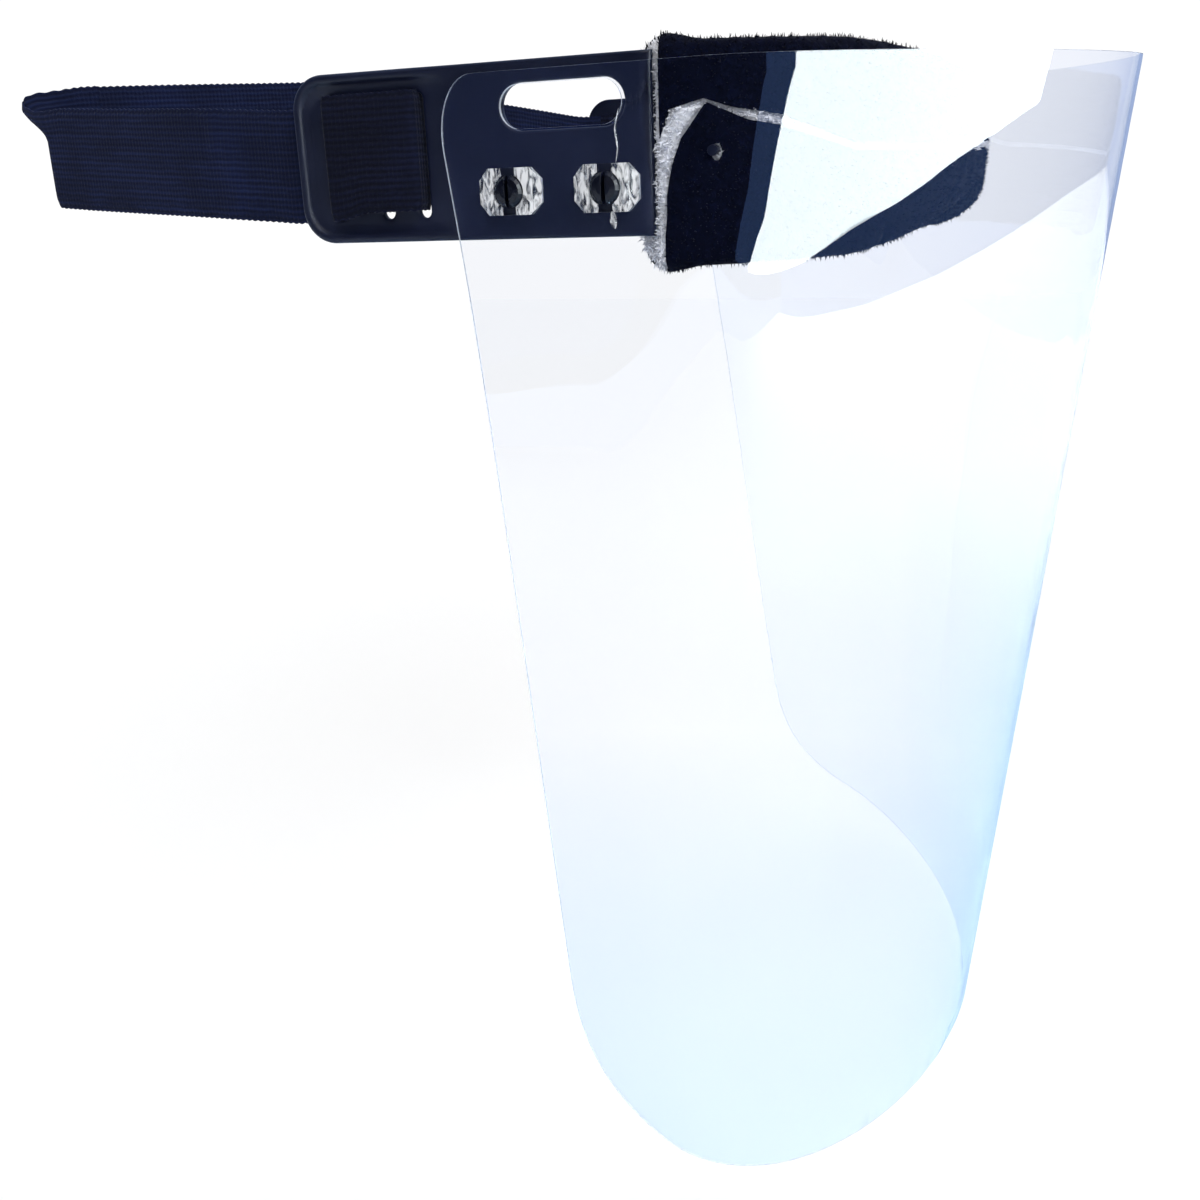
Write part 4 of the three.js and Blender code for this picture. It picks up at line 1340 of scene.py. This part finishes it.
def webbing(name, path, material, phase=0.0, shift=None):
    """Ribbed elastic along a path. shift(share along, share of height) moves the points of a bent piece."""
    middle, at = resampled(path, RIB_PITCH / 4)
    heights = np.linspace(-1, 1, 15)
    rows = webbing_rows(middle, at, heights, phase, shift)
    ribs = np.sqrt(np.abs(np.sin(math.pi * (at + phase) / RIB_PITCH)))
    faces_out, faces_in = [], []
    for h, row in zip(heights, rows):
        ahead = np.gradient(row, axis=0)[:, :2]
        ahead /= np.linalg.norm(ahead, axis=1)[:, None]
        side = np.column_stack([ahead[:, 1], -ahead[:, 0], np.zeros(len(row))])
        rounded = math.sqrt(max(0.0, 1 - abs(h) ** 10)) * 0.7 + 0.3
        thick = STRAP_THICKNESS / 2 * rounded * (0.7 + 0.3 * ribs)
        faces_out.append(row + side * thick[:, None])
        faces_in.append(row - side * thick[:, None])
    loop = faces_out + faces_in[::-1]
    ring = len(loop)
    points = np.stack(loop, axis=1).reshape(-1, 3)
    v = np.concatenate([heights, heights[::-1]]) * STRAP_WIDTH / 2
    uv = np.column_stack([np.repeat(at + phase, ring), np.tile(v, len(at))]) * MM
    faces = ring_faces(len(at), ring)
    last = (len(at) - 1) * ring
    for i in range(len(heights) - 1):
        j = ring - 1 - i
        faces.append((i + 1, i, j, j - 1))
        faces.append((last + i, last + i + 1, last + j - 1, last + j))
    return dress(mesh_object(name, points, faces, 60, uv), material), at[-1]


def buckle_path(corners):
    """Path of the webbing through the buckle's slots, which it fills towards their tops."""
    return rounded_path([(x, y, STRAP_MID_Z + BUCKLE_LIFT) for x, y in corners], 1)


def over_bars_path():
    """Out through the rear slot, forward over both bars and in through the front slot."""
    rear, _, front = STRAP_SLOT_YS
    return buckle_path(
        [
            (INSIDE_X, rear + REAR_JOIN),
            (INSIDE_X, rear),
            (UPPER_LAYER_X, rear),
            (UPPER_LAYER_X, front),
            (INSIDE_X, front),
            (INSIDE_X, front + FRONT_JOIN),
        ]
    )


def tail_path():
    """Back inside from the front slot and out through the middle one, to the cut end over the rear bar."""
    rear, middle, front = STRAP_SLOT_YS
    return buckle_path(
        [
            (INSIDE_X, front + FRONT_JOIN + GAP),
            (INSIDE_X, middle),
            (OUTSIDE_X, middle),
            (OUTSIDE_X, rear - TAIL_CUT),
        ]
    )


def rear_droop(along, height):
    """The webbing's lower edge hangs down in the rear slot."""
    droop = REAR_DROOP * (1 - smooth_step(along, 0.28, 0.5)) * (1 - smooth_step(height, 0, 0.6))
    return droop[:, None] * np.array([0, 0, -1])


def run_fold(along, height):
    """Soft diagonal fold across the right run, a third of the way from the buckle."""
    fold = mix(*FOLD_AT, height)
    stand = smooth_step(along, fold - 0.08, fold + 0.08) * (1 - smooth_step(along, fold + 0.1, 0.95))
    beside = np.exp(-(((along - fold - 0.06) / 0.08) ** 2))
    ripples = 0.25 * ripple(along * 60, height * 9, 1.0, 31) * beside
    return (FOLD_STEP * stand + ripples)[:, None] * np.array([-1, 0, 0])


def run_corners(side):
    """Corners of one side's strap run: in the buckle, behind the plate, half way and at the rear bend."""
    sag = RIGHT_RUN_SAG if side < 0 else 0
    lift = BEND_LIFT if side < 0 else LEFT_RUN_LIFT
    start = np.array([-side * INSIDE_X, STRAP_SLOT_YS[0] + REAR_JOIN, STRAP_MID_Z])
    leave = np.array([start[0], PLATE_REAR_Y + 2, STRAP_MID_Z - sag])
    end = np.array([STRAP_BEND[0] + side * BEND_RADIUS, STRAP_BEND[1], STRAP_MID_Z + lift])
    half_way = (leave + end) / 2
    half_way[2] += 0 if side < 0 else LEFT_RUN_RISE
    return start, leave, half_way, end


def before_bend(side, distance):
    """Point of one side's strap run at a distance before the rear bend, or past it if negative."""
    _, _, half_way, end = run_corners(side)
    way = (half_way - end) / np.linalg.norm(half_way - end)
    return end + way * distance


def nose_shift(along, height):
    """Top third of the rear bend stands out in a soft nose behind the crease."""
    _, leave, _, end = run_corners(-1)
    rearward = (end - leave) / np.linalg.norm(end - leave)
    upper = smooth_step(height, 0.64, 0.95)
    reach = NOSE_LENGTH * upper * np.exp(-(((along - 0.52) / 0.14) ** 2))
    drop = NOSE_DROP * upper * np.exp(-(((along - 0.52) / 0.2) ** 2))
    return reach[:, None] * rearward + drop[:, None] * np.array([0, 0, -1])


def build_threaded_webbing():
    """The two layers of webbing in each buckle, in the darker copy of the webbing that paints their shade.
    """
    over, tail = over_bars_path(), tail_path()
    for side, flip in (("right", (1, 1, 1)), ("left", (-1, 1, 1))):
        piece, _ = webbing(side + "_webbing_over_bars", over * flip, SHADED_WEBBING, 0.0, rear_droop)
        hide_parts(side + "_strap_over_bars")
        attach(piece, "shield")
        piece, _ = webbing(side + "_webbing_tail", tail * flip, SHADED_WEBBING, 0.5)
        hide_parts(side + "_strap_tail")
        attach(piece, "shield")


def build_strap_runs():
    """Free runs of the strap, and the bend that joins them at the rear."""
    lengths = {}
    for side, sign in (("right", -1), ("left", 1)):
        start, leave, half_way, _ = run_corners(sign)
        end = before_bend(sign, BEND_REACH)
        path = rounded_path([start, leave, half_way, end], RUN_BENDS[side])
        fold = run_fold if sign < 0 else None
        run, lengths[side] = webbing(side + "_webbing_run", path, WEBBING, 0.0, fold)
        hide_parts(side + "_strap_run")
        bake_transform(run)
    right_turn, left_turn = before_bend(-1, -BEND_RADIUS), before_bend(1, -BEND_RADIUS)
    corners = [before_bend(-1, BEND_REACH), right_turn, left_turn, before_bend(1, BEND_REACH)]
    path = rounded_path(corners, BEND_RADIUS)
    bend, _ = webbing("webbing_rear_bend", path, WEBBING, lengths["right"], nose_shift)
    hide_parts("strap_rear_bend")
    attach(bend, "strap_rear")


# ---------------------------------------------------------------- kept CAD nodes


def dress_cad():
    """Studs and band keep their CAD shape, with rounded edges and their own plastic."""
    for name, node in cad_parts.items():
        is_band = name == "front_band"
        if not is_band and not name.endswith("_stud"):
            continue
        dress(node, PLASTIC if is_band else STUD_PLASTIC)
        weld = node.modifiers.new("weld", "WELD")
        weld.merge_threshold = 0.005 * MM
        edges = node.modifiers.new("edges", "BEVEL")
        edges.width = (BAND_EDGE_ROUND if is_band else STUD_EDGE_ROUND) * MM
        edges.segments = 2
        edges.limit_method = "ANGLE"
        edges.angle_limit = math.radians(35)


# ---------------------------------------------------------------- studio


def build_camera():
    """Camera at the shield's right, a little above and in front, level with its top."""
    turn, down, roll = (math.radians(a) for a in (CAMERA_TURN, CAMERA_DOWN, CAMERA_ROLL))
    ahead = Vector((math.cos(down) * math.cos(turn), math.cos(down) * math.sin(turn), -math.sin(down)))
    flat_right = Vector((math.sin(turn), -math.cos(turn), 0))
    flat_up = flat_right.cross(ahead)
    right = math.cos(roll) * flat_right + math.sin(roll) * flat_up
    up = -math.sin(roll) * flat_right + math.cos(roll) * flat_up
    data = bpy.data.cameras.new("camera")
    data.lens = CAMERA_LENS
    data.sensor_width = 36
    data.clip_start = 0.01
    camera = bpy.data.objects.new("camera", data)
    axes = Matrix((right, up, -ahead)).transposed().to_4x4()
    camera.matrix_world = Matrix.Translation(Vector(CAMERA_PLACE) * MM) @ axes
    bpy.context.scene.collection.objects.link(camera)
    bpy.context.scene.camera = camera


def soft_key():
    """Broad, very soft light from the front, right and above."""
    data = bpy.data.lights.new("key", "SUN")
    data.energy = KEY_STRENGTH
    data.angle = math.radians(KEY_BREADTH)
    key = bpy.data.objects.new("key", data)
    key.rotation_euler = Vector(KEY_FROM).to_track_quat("Z", "Y").to_euler()
    bpy.context.scene.collection.objects.link(key)


def path_share(tree, depth):
    """1 for a ray with a bounce of the kind that depth names, such as Glossy Depth for mirrored, else 0."""
    path = tree.nodes.new("ShaderNodeLightPath")
    return arithmetic(tree, "MINIMUM", path.outputs[depth], 1)


def inside(loop, a, b):
    """True for the points within a closed loop."""
    crossings = np.zeros(np.shape(a), int)
    for (a0, b0), (a1, b1) in zip(loop, loop[1:] + loop[:1]):
        if b0 != b1:
            beside = (b > min(b0, b1)) & (b <= max(b0, b1))
            crossings += beside & (a < mix(a0, a1, (b - b0) / (b1 - b0)))
    return crossings % 2 == 1


def build_card(name, distance, radiance, outline):
    """A card that is clear to every ray but a mirrored one."""
    low, high = np.min(outline, axis=0), np.max(outline, axis=0)
    fill = grid(low[0], high[0], 4, low[1], high[1], 4)
    flat, triangles = triangulate([subdivided(outline, 2)], fill, lambda a, b: inside(outline, a, b))
    across, up = np.radians(flat).T
    ways = np.column_stack([np.cos(up) * np.sin(across), -np.cos(up) * np.cos(across), np.sin(up)])
    card = mesh_object(name, ways * distance, triangles)
    material = bpy.data.materials.new(name)
    material.use_nodes = True
    material.cycles.emission_sampling = "NONE"
    tree = material.node_tree
    tree.nodes.clear()
    glow = tree.nodes.new("ShaderNodeEmission")
    glow.inputs["Color"].default_value = (*radiance, 1)
    choice = tree.nodes.new("ShaderNodeMixShader")
    tree.links.new(path_share(tree, "Glossy Depth"), choice.inputs[0])
    tree.links.new(tree.nodes.new("ShaderNodeBsdfTransparent").outputs[0], choice.inputs[1])
    tree.links.new(glow.outputs[0], choice.inputs[2])
    tree.links.new(choice.outputs[0], tree.nodes.new("ShaderNodeOutputMaterial").inputs["Surface"])
    dress(card, material)


def build_world():
    """Even light all round, weaker on the pieces than it is seen, and bluish where it is mirrored."""
    world = bpy.data.worlds.new("studio")
    bpy.context.scene.world = world
    world.use_nodes = True
    tree = world.node_tree
    scattered = arithmetic(tree, "MULTIPLY", path_share(tree, "Diffuse Depth"), 0.5)
    kind = arithmetic(tree, "MAXIMUM", scattered, path_share(tree, "Glossy Depth"))
    colour = ramp(tree, kind, [(0, WORLD_SEEN), (0.5, WORLD_LIGHT), (1, WORLD_MIRRORED)])
    tree.links.new(colour, tree.nodes["Background"].inputs["Color"])


def distance_from(tree, place, centre):
    """Distance in metres of a place from a point given in millimetres."""
    node = tree.nodes.new("ShaderNodeVectorMath")
    node.operation = "DISTANCE"
    tree.links.new(place, node.inputs[0])
    node.inputs[1].default_value = Vector(centre) * MM
    return node.outputs["Value"]


def floor_paper():
    """White paper with a painted pale blue tint close by: a painted reflection where the visor mirrors it,
    and a painted shadow of the visor where it is seen through the visor.
    """
    material, tree, shader = new_material("floor_paper", FLOOR_COLOUR, 0.9, Specular_IOR_Level=0.1)
    place = coordinates(tree)
    # Painted reflection: pale blue close round the shield, only where the floor is mirrored.
    near = remapped(tree, distance_from(tree, place, (0, 0, 0)), *PAINTED_REFLECTION_FADE, 1, 0)
    # Painted shadow of the visor: pale blue round a point under it, only where the floor is seen through
    # the visor.
    shadow_centre = (*VISOR_SHADOW_CENTRE, FLOOR_LEVEL)
    under = remapped(tree, distance_from(tree, place, shadow_centre), *VISOR_SHADOW_FADE, VISOR_SHADOW_SHARE, 0)
    near = arithmetic(tree, "MULTIPLY", near, path_share(tree, "Glossy Depth"))
    under = arithmetic(tree, "MULTIPLY", under, path_share(tree, "Transmission Depth"))
    painted_reflection_and_shadow = arithmetic(tree, "MAXIMUM", near, under)
    fibres = arithmetic(tree, "MULTIPLY", noise(tree, place, 60, 4), 0.02)
    tone = arithmetic(tree, "ADD", painted_reflection_and_shadow, fibres)
    tree.links.new(ramp(tree, tone, [(0, FLOOR_COLOUR), (1, FLOOR_REFLECTION_AND_SHADOW_TINT)]), shader.inputs["Base Color"])
    return material


def build_floor():
    signs = ((-1, -1), (1, -1), (1, 1), (-1, 1))
    corners = [(a * FLOOR_SIZE, b * FLOOR_SIZE, FLOOR_LEVEL) for a, b in signs]
    floor = dress(mesh_object("floor", corners, [(0, 1, 2, 3)]), floor_paper())


def build_studio():
    bpy.context.scene.view_settings.view_transform = "Standard"
    build_world()
    build_floor()
    for name, card in CARDS.items():
        build_card(name, *card)
    soft_key()


def main():
    build_camera()
    build_plates()
    build_visor()
    core = swollen_core()
    build_cover(core)
    build_lining(core)
    build_threaded_webbing()
    build_strap_runs()
    dress_cad()
    build_studio()


main()
